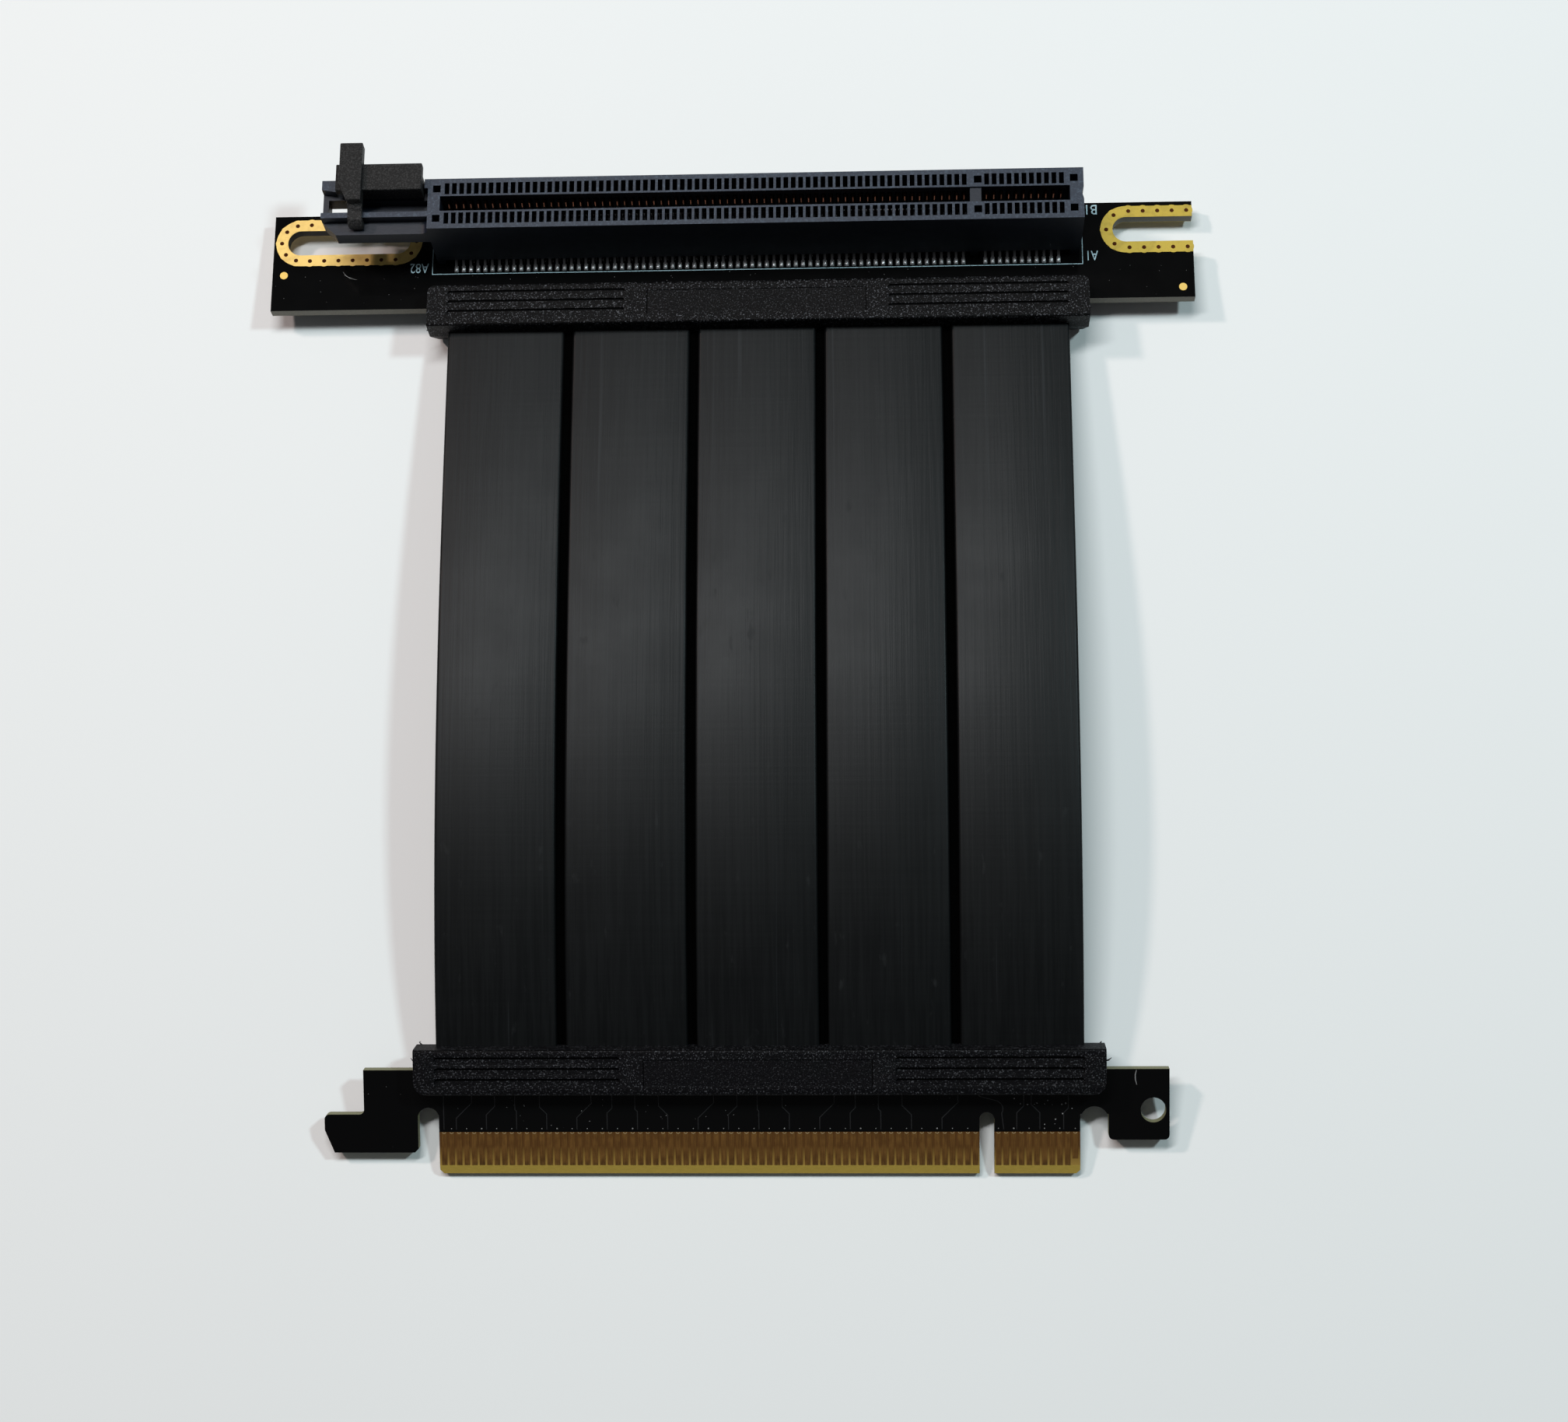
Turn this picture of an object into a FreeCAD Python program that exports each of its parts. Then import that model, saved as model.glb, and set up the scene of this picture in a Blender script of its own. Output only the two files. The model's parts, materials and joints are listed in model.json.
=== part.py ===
import FreeCAD, Part
import math
import os

os.makedirs("parts", exist_ok=True)
Vector = FreeCAD.Vector

# A ribbon riser for a x16 card slot, in millimetres.  A slot board with its
# card connector and retention latch is joined by a flat five-lobe ribbon to
# a plug board with gold edge contacts.  The riser lies on a surface, Z = 0.
#
# Each end is modelled flat in its own frame and laid down at the end of the
# script.  In both frames X = 0 is on contact 1, contacts run towards -X, and
# Z = 0 is the upper face of the board.  Slot frame: Y = 0 is the middle of
# the card slot and +Y points away from the ribbon.  Plug frame: Y = 0 is the
# tip of the card edge and +Y points at the ribbon.

# ---------------------------------------------------------------- contacts
contact_pitch = 1.0
short_count = 11            # contacts 1 to 11, right of the key
long_count = 71             # contacts 12 to 82, left of the key
key_step = 3.0              # from contact 11 to contact 12, over the key

# ---------------------------------------------------------------- boards
board_thick = 1.57
slot_board_length = 127.15
slot_board_right = 18.40    # contact 1 to the board's right end
slot_board_outer = 3.95     # slot centre line to the outer edge
slot_board_inner = 10.40    # slot centre line to the edge in the moulding
screw_slot_width = 3.7
screw_slot_y = -0.15
closed_slot_length = 17.2
closed_slot_left = 1.95     # board end to the slot's rounded end
open_slot_depth = 10.92     # board end to the slot's rounded end
ring_width = 1.65
copper_thick = 0.05
fiducial_radius = 0.55
fiducial_inset_x = 1.6
left_fiducial_y = -5.05
right_fiducial_y = -8.90

# ---------------------------------------------------------------- housing
housing_height = 11.25
housing_width = 7.4
housing_left_margin = 2.6   # contact 82 to the left end of the body
housing_right_margin = 2.95
standoff = 1.3              # clear height under the body for the leads
foot_width = 1.1
card_gap = 2.2              # mouth of the card slot
card_seat = 3.25            # floor of the card slot above the board
lip_depth = 1.25            # the lip round the mouth of the slot
under_lip_gap = 2.75        # slot width below the lip
slot_end_margin = 0.93      # contact 82 to the left end of the card slot
slot_right_margin = 1.10
key_rib = 1.52
cavity_length = 1.65        # across the housing
cavity_width = 0.65
blind_hole_side = 1.05      # square core-out holes at the row ends
blind_hole_depth = 4.0
blind_hole_left = 1.40      # contact 82 to the left blind holes
blind_hole_key = 1.20       # contact 11 to the blind holes at the key
blind_hole_right = 1.65
rib_drop = 0.35             # top of the key's rib below the top of the housing
end_notch = 0.25            # shallow V across the right end
end_notch_width = 1.8

# ---------------------------------------------------------------- cradle
cradle_length = 14.55       # arm beyond the left end of the body
cradle_low = 7.1
cradle_shelf = 9.65
cradle_rail = 0.78          # thin wall between shelf and card pocket
cradle_chamfer = 1.9
cradle_wall = 0.75
cradle_block = 2.95         # solid block at the far end
cradle_pocket = 1.5         # slot centre line to the back of the card pocket
cradle_ledge = 9.15         # ledge behind the pocket, under the latch
cradle_floor = 0.6          # floor of the pocket between block and body
ear_length = 1.9
ear_depth = 1.35
ear_slant = 0.35            # front of the ear, from one end to the other
ear_post = 0.5              # short post beside the body
junction_radius = 1.0

# ---------------------------------------------------------------- latch
hinge_y = 3.1
hinge_z = 10.30
hinge_pin_radius = 0.40
hinge_pin_length = 0.7
hinge_clearance = 0.05
latch_side_gap = 0.2
barrel_front = 1.45         # front face of the hinge block
barrel_back = 4.0
paddle_back = 5.35
paddle_low = 11.5
paddle_top = 12.85
bar_left = 2.7              # far end of the cradle to the bar
bar_width = 3.1
bar_top = 13.8
bar_low = 11.6
bar_tail_low = 12.0
bar_back = 8.1
bar_front = -0.4
bar_shoulder = 2.2
hook_width = 2.0
hook_front = -3.1
hook_inner = -2.05
hook_low = 9.85
hook_corner = 0.8
barrel_heel = 9.9           # underside of the block in front of the barrel

# ---------------------------------------------------------------- contacts in the slot
spring_thick = 0.2
spring_width = 0.34
lead_foot_end = 4.75        # middle of the soldered foot from the centre line
stem_y = 2.2
stem_z = 1.3
crest_y = 0.66
crest_z = 8.4
spring_tip_y = 1.12
spring_tip_z = 9.65

# ---------------------------------------------------------------- plug board
tongue_margin = 0.65        # last contact to the side of the tongue
notch_width = 1.95
notch_depth = 8.3
plug_board_height = 14.0    # tip to the edge inside the moulding
tip_bevel = 1.2
tip_bevel_depth = 0.44
tip_corner = 0.5
hook_relief_width = 2.8
hook_relief_depth = 8.95
hook_arm_reach = 12.45      # left relief to the far end of the hook
hook_neck = 7.15            # left relief to the neck of the hook
hook_arm_low = 2.9
hook_arm_high = 8.05
hook_tip_slope_x = 1.27
hook_tip_slope_y = 3.05
board_fillet = 0.65
tab_relief_width = 3.7
tab_relief_depth = 9.05
tab_width = 7.9
tab_low = 4.6
screw_hole_radius = 1.65
screw_hole_x = 2.1          # tab's outer edge to the hole
screw_hole_y = 8.55
finger_width = 0.7
finger_low = 1.25
finger_high = 5.67
short_finger_low = 2.15     # contact 1 on the upper side mates last

# ---------------------------------------------------------------- mouldings
mould_length = 90.4
mould_depth = 6.1
mould_above = 3.0
mould_below = 3.0
slot_mould_near = 8.15      # slot centre line to the moulding
plug_mould_near = 11.2      # card tip to the moulding
slot_mould_corner = (1.4, 1.1)      # rounded corners of the upper half, along X and Y
plug_mould_corner = (1.9, 1.7)
mould_draft = 1.3           # lower half, ribbon side, narrower at the bottom
mould_end_draft = 0.6
corner_flats = 3            # flats that draw each rounded corner
mould_edge = 0.35
grip_count = 3
grip_pitch = 1.43
grip_width = 0.95
grip_length = 24.5
grip_inset = 2.75
grip_depth = 0.3
slot_grip_shift = -0.15     # middle of the recesses, towards the ribbon
plug_grip_shift = 0.2
grip_end = 0.28             # chamfered corners of a recess
panel_length = 30.0
panel_width = 3.5
panel_depth = 0.15

# ---------------------------------------------------------------- ribbon
ribbon_centre = -41.3
lobe_count = 5
lobe_width = 15.85
lobe_gap = 1.39
ribbon_thick = 2.6
lobe_round = 0.8
round_flats = 2             # flats that draw each rounded edge of a lobe
web_thick = 0.6
web_setback = 0.8           # the webs stop short of the mouldings
core_side_wall = 0.5
core_stub = 0.8             # cores beyond the sheath, in the moulding
tail_thick = 0.35
tail_lap = 1.4              # solder tails over the board's edge

# ---------------------------------------------------------------- lay
slot_tilt = 8.0             # degrees, outer edge of the slot board down
plug_tilt = 15.4            # degrees, card tip down
end_distance = 128.0        # slot centre line to card tip, along Y


# Contact positions ---------------------------------------------------------
def contact_x(number):
    """X of a contact, 1 to 82."""
    if number <= short_count:
        return -(number - 1) * contact_pitch
    return contact_x(short_count) - key_step - (number - short_count - 1) * contact_pitch


contact_numbers = range(1, short_count + long_count + 1)
last_x = contact_x(short_count + long_count)
key_x = contact_x(short_count) - key_step / 2.0

housing_left = last_x - housing_left_margin
housing_right = housing_right_margin
half_width = housing_width / 2.0
cradle_left = housing_left - cradle_length
slot_board_left = slot_board_right - slot_board_length
mould_left = ribbon_centre - mould_length / 2.0
mould_right = ribbon_centre + mould_length / 2.0


# Shape helpers -------------------------------------------------------------
def box(x0, x1, y0, y1, z0, z1):
    return Part.makeBox(x1 - x0, y1 - y0, z1 - z0, Vector(x0, y0, z0))


def face_of(points):
    return Part.Face(Part.makePolygon(points + [points[0]]))


def plate_xy(outline, z0, z1):
    """A plate with an outline of (x, y) corners."""
    face = face_of([Vector(x, y, z0) for x, y in outline])
    return face.extrude(Vector(0, 0, z1 - z0))


def bar_yz(outline, x0, x1):
    """A bar along X with a section of (y, z) corners."""
    face = face_of([Vector(x0, y, z) for y, z in outline])
    return face.extrude(Vector(x1 - x0, 0, 0))


def obround(x0, x1, y_mid, width, z0, z1):
    """A plate with round ends, from x0 to x1 over the ends."""
    radius = width / 2.0
    plate = box(x0 + radius, x1 - radius, y_mid - radius, y_mid + radius, z0, z1)
    ends = [Part.makeCylinder(radius, z1 - z0, Vector(x, y_mid, z0)) for x in (x0 + radius, x1 - radius)]
    return plate.multiFuse(ends).removeSplitter()


def rod_x(radius, x0, x1, y, z):
    return Part.makeCylinder(radius, x1 - x0, Vector(x0, y, z), Vector(1, 0, 0))


def edges_where(shape, test):
    """Straight edges of a shape whose two ends both pass a test."""
    chosen = []
    for edge in shape.Edges:
        if len(edge.Vertexes) == 2 and all(test(v.Point) for v in edge.Vertexes):
            chosen.append(edge)
    return chosen


def near(a, b):
    return abs(a - b) < 1e-4


# Slot board ----------------------------------------------------------------
closed_slot_x0 = slot_board_left + closed_slot_left
closed_slot_x1 = closed_slot_x0 + closed_slot_length
open_slot_x0 = slot_board_right - open_slot_depth


def slot_board():
    board = box(slot_board_left, slot_board_right, -slot_board_inner, slot_board_outer, -board_thick, 0)
    closed = obround(closed_slot_x0, closed_slot_x1, screw_slot_y, screw_slot_width, -board_thick, 0)
    open_end = slot_board_right + screw_slot_width
    opened = obround(open_slot_x0, open_end, screw_slot_y, screw_slot_width, -board_thick, 0)
    return board.cut(closed).cut(opened)


def ring_pair(x0, x1):
    """Plated copper round a screw slot, on both faces of the board."""
    pair = []
    for z in (0.0, -board_thick - copper_thick):
        outer = obround(x0 - ring_width, x1 + ring_width, screw_slot_y,
                        screw_slot_width + 2 * ring_width, z, z + copper_thick)
        inner = obround(x0, x1, screw_slot_y, screw_slot_width, z, z + copper_thick)
        pair.append(outer.cut(inner))
    return pair


def closed_slot_rings():
    return Part.makeCompound(ring_pair(closed_slot_x0, closed_slot_x1))


def open_slot_rings():
    beyond = slot_board_right + screw_slot_width
    keep = box(open_slot_x0 - 2 * ring_width, slot_board_right, -slot_board_inner,
               slot_board_outer, -2 * board_thick, board_thick)
    return Part.makeCompound([ring.common(keep) for ring in ring_pair(open_slot_x0, beyond)])


def fiducials():
    places = [(slot_board_left + fiducial_inset_x, left_fiducial_y),
              (slot_board_right - fiducial_inset_x, right_fiducial_y)]
    dots = [Part.makeCylinder(fiducial_radius, copper_thick, Vector(x, y, 0)) for x, y in places]
    return Part.makeCompound(dots)


# Slot housing --------------------------------------------------------------
row_offset = (under_lip_gap + cavity_length) / 2.0
slot_mouths = [(last_x - slot_end_margin, key_x - key_rib / 2.0),
               (key_x + key_rib / 2.0, slot_right_margin)]
ear_front = half_width - ear_depth
rail_front = -card_gap / 2.0 - cradle_rail
block_right = cradle_left + cradle_block


def housing_body():
    half = end_notch_width / 2.0
    body = plate_xy([(housing_left, -half_width), (housing_right, -half_width), (housing_right, -half),
                     (housing_right - end_notch, 0), (housing_right, half),
                     (housing_right, half_width), (housing_left, half_width)],
                    standoff, housing_height)
    feet = [box(x, x + foot_width, -half_width, half_width, 0, standoff)
            for x in (housing_left, key_x - foot_width / 2.0, housing_right - end_notch - foot_width)]
    return body, feet


def housing_cradle():
    """The arm beyond the body that takes the card's hook and the latch."""
    shelf = plate_xy([(cradle_left + cradle_chamfer, -half_width), (housing_left, -half_width),
                      (housing_left, -card_gap / 2.0), (cradle_left, -card_gap / 2.0),
                      (cradle_left, -half_width + cradle_chamfer)], cradle_low, cradle_shelf)
    rail = box(cradle_left, housing_left, rail_front, -card_gap / 2.0, cradle_shelf, housing_height)
    wall = box(cradle_left, cradle_left + cradle_wall, -card_gap / 2.0, cradle_pocket,
               cradle_low, cradle_shelf)
    block = box(cradle_left, block_right, cradle_pocket, half_width, cradle_low, cradle_shelf)
    ledge = box(block_right, housing_left, cradle_pocket, half_width, cradle_low, cradle_ledge)
    floor = box(block_right, housing_left, -card_gap / 2.0, cradle_pocket,
                cradle_low, cradle_low + cradle_floor)
    ear = plate_xy([(cradle_left, ear_front), (cradle_left + ear_length, ear_front - ear_slant),
                    (cradle_left + ear_length, half_width), (cradle_left, half_width)],
                   cradle_shelf, housing_height)
    post = box(housing_left - ear_post, housing_left, ear_front, half_width, cradle_shelf, housing_height)
    return [shelf, rail, wall, block, ledge, floor, ear, post]


def junction_fillet():
    """Concave corner where the shelf meets the end of the body."""
    corner = box(housing_left - junction_radius, housing_left, -half_width, rail_front,
                 cradle_shelf, cradle_shelf + junction_radius)
    bore = Part.makeCylinder(junction_radius, half_width + rail_front,
                             Vector(housing_left - junction_radius, -half_width,
                                    cradle_shelf + junction_radius), Vector(0, 1, 0))
    return corner.cut(bore)


def contact_cavities():
    """Through pockets for the springs, one per contact and side."""
    pockets = []
    for side in (-1, 1):
        y_mid = side * row_offset
        for number in contact_numbers:
            x = contact_x(number)
            pockets.append(box(x - cavity_width / 2.0, x + cavity_width / 2.0,
                               y_mid - cavity_length / 2.0, y_mid + cavity_length / 2.0,
                               standoff, housing_height))
        half = blind_hole_side / 2.0
        for x in (last_x - blind_hole_left, contact_x(short_count) - blind_hole_key, blind_hole_right):
            pockets.append(box(x - half, x + half, y_mid - half, y_mid + half,
                               housing_height - blind_hole_depth, housing_height))
    return pockets


def card_slots():
    """The two card slots, wider below the lip where the springs bow out."""
    lip_low = housing_height - lip_depth
    cuts = []
    for x0, x1 in slot_mouths:
        cuts.append(box(x0, x1, -card_gap / 2.0, card_gap / 2.0, lip_low, housing_height))
        cuts.append(box(x0, x1, -under_lip_gap / 2.0, under_lip_gap / 2.0, card_seat, lip_low))
    cuts.append(box(slot_mouths[0][1], slot_mouths[1][0], -card_gap / 2.0, card_gap / 2.0,
                    housing_height - rib_drop, housing_height))
    return cuts


def slot_housing():
    body, feet = housing_body()
    housing = body.multiFuse(feet + housing_cradle() + [junction_fillet()]).removeSplitter()
    housing = housing.cut(Part.makeCompound(contact_cavities()))
    housing = housing.cut(card_slots())
    bore = hinge_pin_radius + hinge_clearance
    reach = hinge_pin_length + hinge_clearance
    bores = [rod_x(bore, cradle_left + ear_length - reach, cradle_left + ear_length, hinge_y, hinge_z),
             rod_x(bore, housing_left - ear_post, housing_left - ear_post + reach, hinge_y, hinge_z)]
    return housing.cut(bores)


# Spring contacts -----------------------------------------------------------
def spring_section(side):
    """Bent strip: foot cut flat on the board, leg, stem, crest in the slot, tip."""
    middle = [(lead_foot_end, 0.0), (stem_y, stem_z), (crest_y, crest_z), (spring_tip_y, spring_tip_z)]
    half = spring_thick / 2.0
    front = []
    back = []
    for i, (y, z) in enumerate(middle):
        y1, z1 = middle[min(i + 1, len(middle) - 1)]
        y0, z0 = middle[max(i - 1, 0)]
        run = math.hypot(y1 - y0, z1 - z0)
        front.append((y - (z1 - z0) / run * half, z + (y1 - y0) / run * half))
        back.append((y + (z1 - z0) / run * half, z - (y1 - y0) / run * half))
    foot = half * math.hypot(lead_foot_end - stem_y, stem_z) / stem_z
    front[0] = (lead_foot_end - foot, 0.0)
    back[0] = (lead_foot_end + foot, 0.0)
    return [(side * y, z) for y, z in front + back[::-1]]


def spring_contacts(side):
    x0 = -spring_width / 2.0
    spring = bar_yz(spring_section(side), x0, x0 + spring_width)
    return Part.makeCompound([spring.translated(Vector(contact_x(n), 0, 0)) for n in contact_numbers])


# Retention latch -----------------------------------------------------------
latch_x0 = cradle_left + ear_length + latch_side_gap
latch_x1 = housing_left - ear_post - latch_side_gap
hinge_x0 = block_right + latch_side_gap
bar_x0 = cradle_left + bar_left
bar_x1 = bar_x0 + bar_width


def latch():
    """One moulding: hinge block with two pins, paddle, thumb bar and hook."""
    barrel = rod_x(barrel_back - hinge_y, hinge_x0, latch_x1, hinge_y, hinge_z)
    block = box(hinge_x0, latch_x1, barrel_front, barrel_back, hinge_z, paddle_top)
    heel = box(hinge_x0, latch_x1, barrel_front, hinge_y, barrel_heel, hinge_z)
    paddle = box(latch_x0, latch_x1, barrel_front, paddle_back, paddle_low, paddle_top)
    bar = plate_xy([(bar_x0, bar_shoulder), (bar_x1 - hook_width, bar_front), (bar_x1, bar_front),
                    (bar_x1, paddle_back), (bar_x0, paddle_back)], bar_low, bar_top)
    tail = box(bar_x0, bar_x1, paddle_back, bar_back, bar_tail_low, bar_top)
    hook = bar_yz([(barrel_front, bar_low), (hook_inner, bar_low), (hook_inner, hook_low),
                   (hook_front, hook_low), (hook_front, bar_low - 0.3), (hook_front + 0.6, bar_low + 0.3),
                   (hook_front + 1.7, bar_low + 0.5), (bar_front, bar_low + 1.0),
                   (barrel_front, bar_low + 1.0)], bar_x1 - hook_width, bar_x1)
    corner = edges_where(hook, lambda p: near(p.x, bar_x1 - hook_width) and near(p.z, hook_low))
    hook = hook.makeFillet(hook_corner, corner)
    pins = [rod_x(hinge_pin_radius, cradle_left + ear_length - hinge_pin_length, hinge_x0, hinge_y, hinge_z),
            rod_x(hinge_pin_radius, latch_x1, latch_x1 + latch_side_gap + hinge_pin_length, hinge_y, hinge_z)]
    return block.multiFuse([barrel, heel, paddle, bar, tail, hook] + pins).removeSplitter()


# Plug board ----------------------------------------------------------------
tongue_left = last_x - tongue_margin
tongue_right = tongue_margin
hook_right = tongue_left - hook_relief_width
hook_left = hook_right - hook_arm_reach
neck_x = hook_right - hook_neck
tab_left = tongue_right + tab_relief_width
tab_right = tab_left + tab_width


def round_top_slot(x0, x1, top):
    """A relief open at the card edge, with a round upper end."""
    radius = (x1 - x0) / 2.0
    centre = Vector((x0 + x1) / 2.0, top - radius, -board_thick)
    slot = box(x0, x1, -1.0, centre.y, -board_thick, 0)
    return slot.fuse(Part.makeCylinder(radius, board_thick, centre))


def plug_board():
    outline = [(hook_left + hook_tip_slope_x, hook_arm_low), (hook_right - tip_corner, hook_arm_low),
               (hook_right, hook_arm_low + tip_corner), (hook_right, hook_relief_depth - 2 * tip_corner),
               (tongue_left, hook_relief_depth - 2 * tip_corner), (tongue_left, tip_corner),
               (tongue_left + tip_corner, 0), (tongue_right - tip_corner, 0),
               (tongue_right, tip_corner), (tongue_right, tab_relief_depth - 2 * tip_corner),
               (tab_left, tab_relief_depth - 2 * tip_corner), (tab_left, tab_low),
               (tab_right, tab_low), (tab_right, plug_board_height), (neck_x, plug_board_height),
               (neck_x, hook_arm_high), (hook_left, hook_arm_high),
               (hook_left, hook_arm_low + hook_tip_slope_y)]
    board = plate_xy(outline, -board_thick, 0)
    rounded = [(tab_left, tab_low), (tab_right, tab_low), (neck_x, hook_arm_high), (hook_left, hook_arm_high)]
    corners = [e for x, y in rounded for e in edges_where(board, lambda p: near(p.x, x) and near(p.y, y))]
    board = board.makeFillet(board_fillet, corners)
    board = board.cut([round_top_slot(hook_right, tongue_left, hook_relief_depth),
                       round_top_slot(key_x - notch_width / 2.0, key_x + notch_width / 2.0, notch_depth),
                       round_top_slot(tongue_right, tab_left, tab_relief_depth),
                       Part.makeCylinder(screw_hole_radius, board_thick,
                                         Vector(tab_right - screw_hole_x, screw_hole_y, -board_thick))])
    for edge_z, inward in ((0.0, -1.0), (-board_thick, 1.0)):
        wedge = bar_yz([(-1.0, edge_z), (tip_bevel, edge_z), (0.0, edge_z + inward * tip_bevel_depth),
                        (-1.0, edge_z + inward * tip_bevel_depth)], tongue_left - 1.0, tongue_right + 1.0)
        board = board.cut(wedge)
    return board


def gold_fingers(z0, first_low):
    half = finger_width / 2.0
    fingers = []
    for number in contact_numbers:
        x = contact_x(number)
        low = first_low if number == 1 else finger_low
        fingers.append(box(x - half, x + half, low, finger_high, z0, z0 + copper_thick))
    return Part.makeCompound(fingers)


# Ribbon section -------------------------------------------------------------
lobe_pitch = lobe_width + lobe_gap
lobe_middles = [ribbon_centre + (i - (lobe_count - 1) / 2.0) * lobe_pitch for i in range(lobe_count)]
core_width = lobe_width - 2 * core_side_wall
middle_z = -board_thick / 2.0


def lobe_section(x):
    """Outer outline of one lobe as a face on the plane Y = 0.  Each rounded
    edge is drawn as a few short flats."""
    reach_x = lobe_width / 2.0 - lobe_round
    reach_z = ribbon_thick / 2.0 - lobe_round
    outline = []
    for quarter, (side_x, side_z) in enumerate([(1, 1), (-1, 1), (-1, -1), (1, -1)]):
        for step in range(round_flats + 1):
            a = math.radians(90 * (quarter + step / round_flats))
            outline.append(Vector(x + side_x * reach_x + lobe_round * math.cos(a), 0,
                                  side_z * reach_z + lobe_round * math.sin(a)))
    return face_of(outline)


def flat_section(x0, x1, thick):
    return face_of([Vector(x0, 0, -thick / 2.0), Vector(x1, 0, -thick / 2.0),
                    Vector(x1, 0, thick / 2.0), Vector(x0, 0, thick / 2.0)])


def core_section(x):
    """A core is as thick as the boards that it butts against."""
    return flat_section(x - core_width / 2.0, x + core_width / 2.0, board_thick)


def web_section(x):
    """Web from the lobe with its middle at x to the next lobe."""
    return flat_section(x + lobe_width / 2.0, x + lobe_width / 2.0 + lobe_gap, web_thick)


# Moulded strain reliefs ----------------------------------------------------
# Built with Y = 0 on the board side and +Y towards the ribbon.  board_edge is
# the edge of the board inside the moulding.
mould_low = -board_thick - mould_below


def solder_tails(board_edge, z):
    """Flat tails of the five cores, soldered to one face of the board."""
    return Part.makeCompound([box(x - core_width / 2.0, x + core_width / 2.0, board_edge - tail_lap,
                                  board_edge + core_stub, z, z + tail_thick) for x in lobe_middles])


def upper_tails(board_edge):
    return solder_tails(board_edge, 0)


def lower_tails(board_edge):
    return solder_tails(board_edge, -board_thick - tail_thick)


def grip_recess(x0, y_mid):
    """Long shallow recess in the top with blunt ends."""
    x1, half, cut = x0 + grip_length, grip_width / 2.0, grip_end
    return plate_xy([(x0 + cut, y_mid - half), (x1 - cut, y_mid - half), (x1, y_mid - half + cut),
                     (x1, y_mid + half - cut), (x1 - cut, y_mid + half), (x0 + cut, y_mid + half),
                     (x0, y_mid + half - cut), (x0, y_mid - half + cut)],
                    mould_above - grip_depth, mould_above)


def mould_upper(corner):
    """Upper half; its two corners at the board side are rounded."""
    cx, cy = corner
    bend = [(cx * (1 - math.cos(a)), cy * (1 - math.sin(a)))
            for a in [math.radians(90.0 * i / corner_flats) for i in range(corner_flats + 1)]]
    left = [(mould_left + x, y) for x, y in bend]
    right = [(mould_right - x, y) for x, y in bend[::-1]]
    return plate_xy([(mould_left, mould_depth)] + left + right + [(mould_right, mould_depth)],
                    middle_z, mould_above)


def mould_lower():
    """Lower half; the ribbon side and the two ends lean in downwards."""
    wires = []
    for z, back, end in ((mould_low, mould_draft, mould_end_draft), (middle_z, 0.0, 0.0)):
        corners = [Vector(mould_left + end, 0, z), Vector(mould_right - end, 0, z),
                   Vector(mould_right - end, mould_depth - back, z),
                   Vector(mould_left + end, mould_depth - back, z)]
        wires.append(Part.makePolygon(corners + corners[:1]))
    return Part.makeLoft(wires, True, True)


def strain_relief(board_edge, corner, grip_shift):
    block = mould_upper(corner).fuse(mould_lower()).removeSplitter()
    long_edges = [e for y in (0, mould_depth)
                  for e in edges_where(block, lambda p: near(p.z, mould_above) and near(p.y, y))]
    block = block.makeFillet(mould_edge, long_edges)
    middle_y = mould_depth / 2.0
    recesses = [box(ribbon_centre - panel_length / 2.0, ribbon_centre + panel_length / 2.0,
                    middle_y - panel_width / 2.0, middle_y + panel_width / 2.0,
                    mould_above - panel_depth, mould_above)]
    for x0 in (mould_left + grip_inset, mould_right - grip_inset - grip_length):
        for i in range(grip_count):
            step = (i - (grip_count - 1) / 2.0) * grip_pitch
            recesses.append(grip_recess(x0, middle_y + grip_shift + step))
    inside = [box(mould_left, mould_right, 0, board_edge, -board_thick, 0),
              upper_tails(board_edge), lower_tails(board_edge)]
    for x in lobe_middles:
        for section, start in ((core_section(x), board_edge), (lobe_section(x), board_edge + core_stub)):
            section.translate(Vector(0, start, middle_z))
            inside.append(section.extrude(Vector(0, mould_depth - start, 0)))
    return block.cut(recesses).cut(inside)


def on_slot_board(shape):
    """From the moulding's frame to the slot frame, where +Y points outwards."""
    turned = shape.copy()
    turned.rotate(Vector(ribbon_centre, 0, 0), Vector(0, 0, 1), 180)
    return turned.translated(Vector(0, -slot_mould_near, 0))


def on_plug_board(shape):
    return shape.translated(Vector(0, plug_mould_near, 0))


# Laying the two ends down --------------------------------------------------
def turned_point(y, z, tilt):
    a = math.radians(tilt)
    return y * math.cos(a) - z * math.sin(a), y * math.sin(a) + z * math.cos(a)


slot_lift = -turned_point(-slot_mould_near, mould_low, -slot_tilt)[1]
plug_lift = -turned_point(plug_mould_near, mould_low, plug_tilt)[1]


def lay_slot_end(shape):
    laid = shape.copy()
    laid.rotate(Vector(0, 0, 0), Vector(1, 0, 0), -slot_tilt)
    return laid.translated(Vector(0, 0, slot_lift))


def lay_plug_end(shape):
    laid = shape.copy()
    laid.rotate(Vector(0, 0, 0), Vector(1, 0, 0), plug_tilt)
    return laid.translated(Vector(0, -end_distance, plug_lift))


# Ribbon between the mouldings ----------------------------------------------
slot_board_edge = slot_board_inner - slot_mould_near
plug_board_edge = plug_board_height - plug_mould_near


def slot_ribbon_point(run):
    """Ribbon centre line, run millimetres into the slot's moulding or past it."""
    y, z = turned_point(-slot_mould_near - run, middle_z, -slot_tilt)
    return Vector(0, y, z + slot_lift)


def plug_ribbon_point(run):
    y, z = turned_point(plug_mould_near + run, middle_z, plug_tilt)
    return Vector(0, y - end_distance, z + plug_lift)


def heading(tilt):
    a = math.radians(tilt)
    return Vector(0, -math.cos(a), -math.sin(a))


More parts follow.
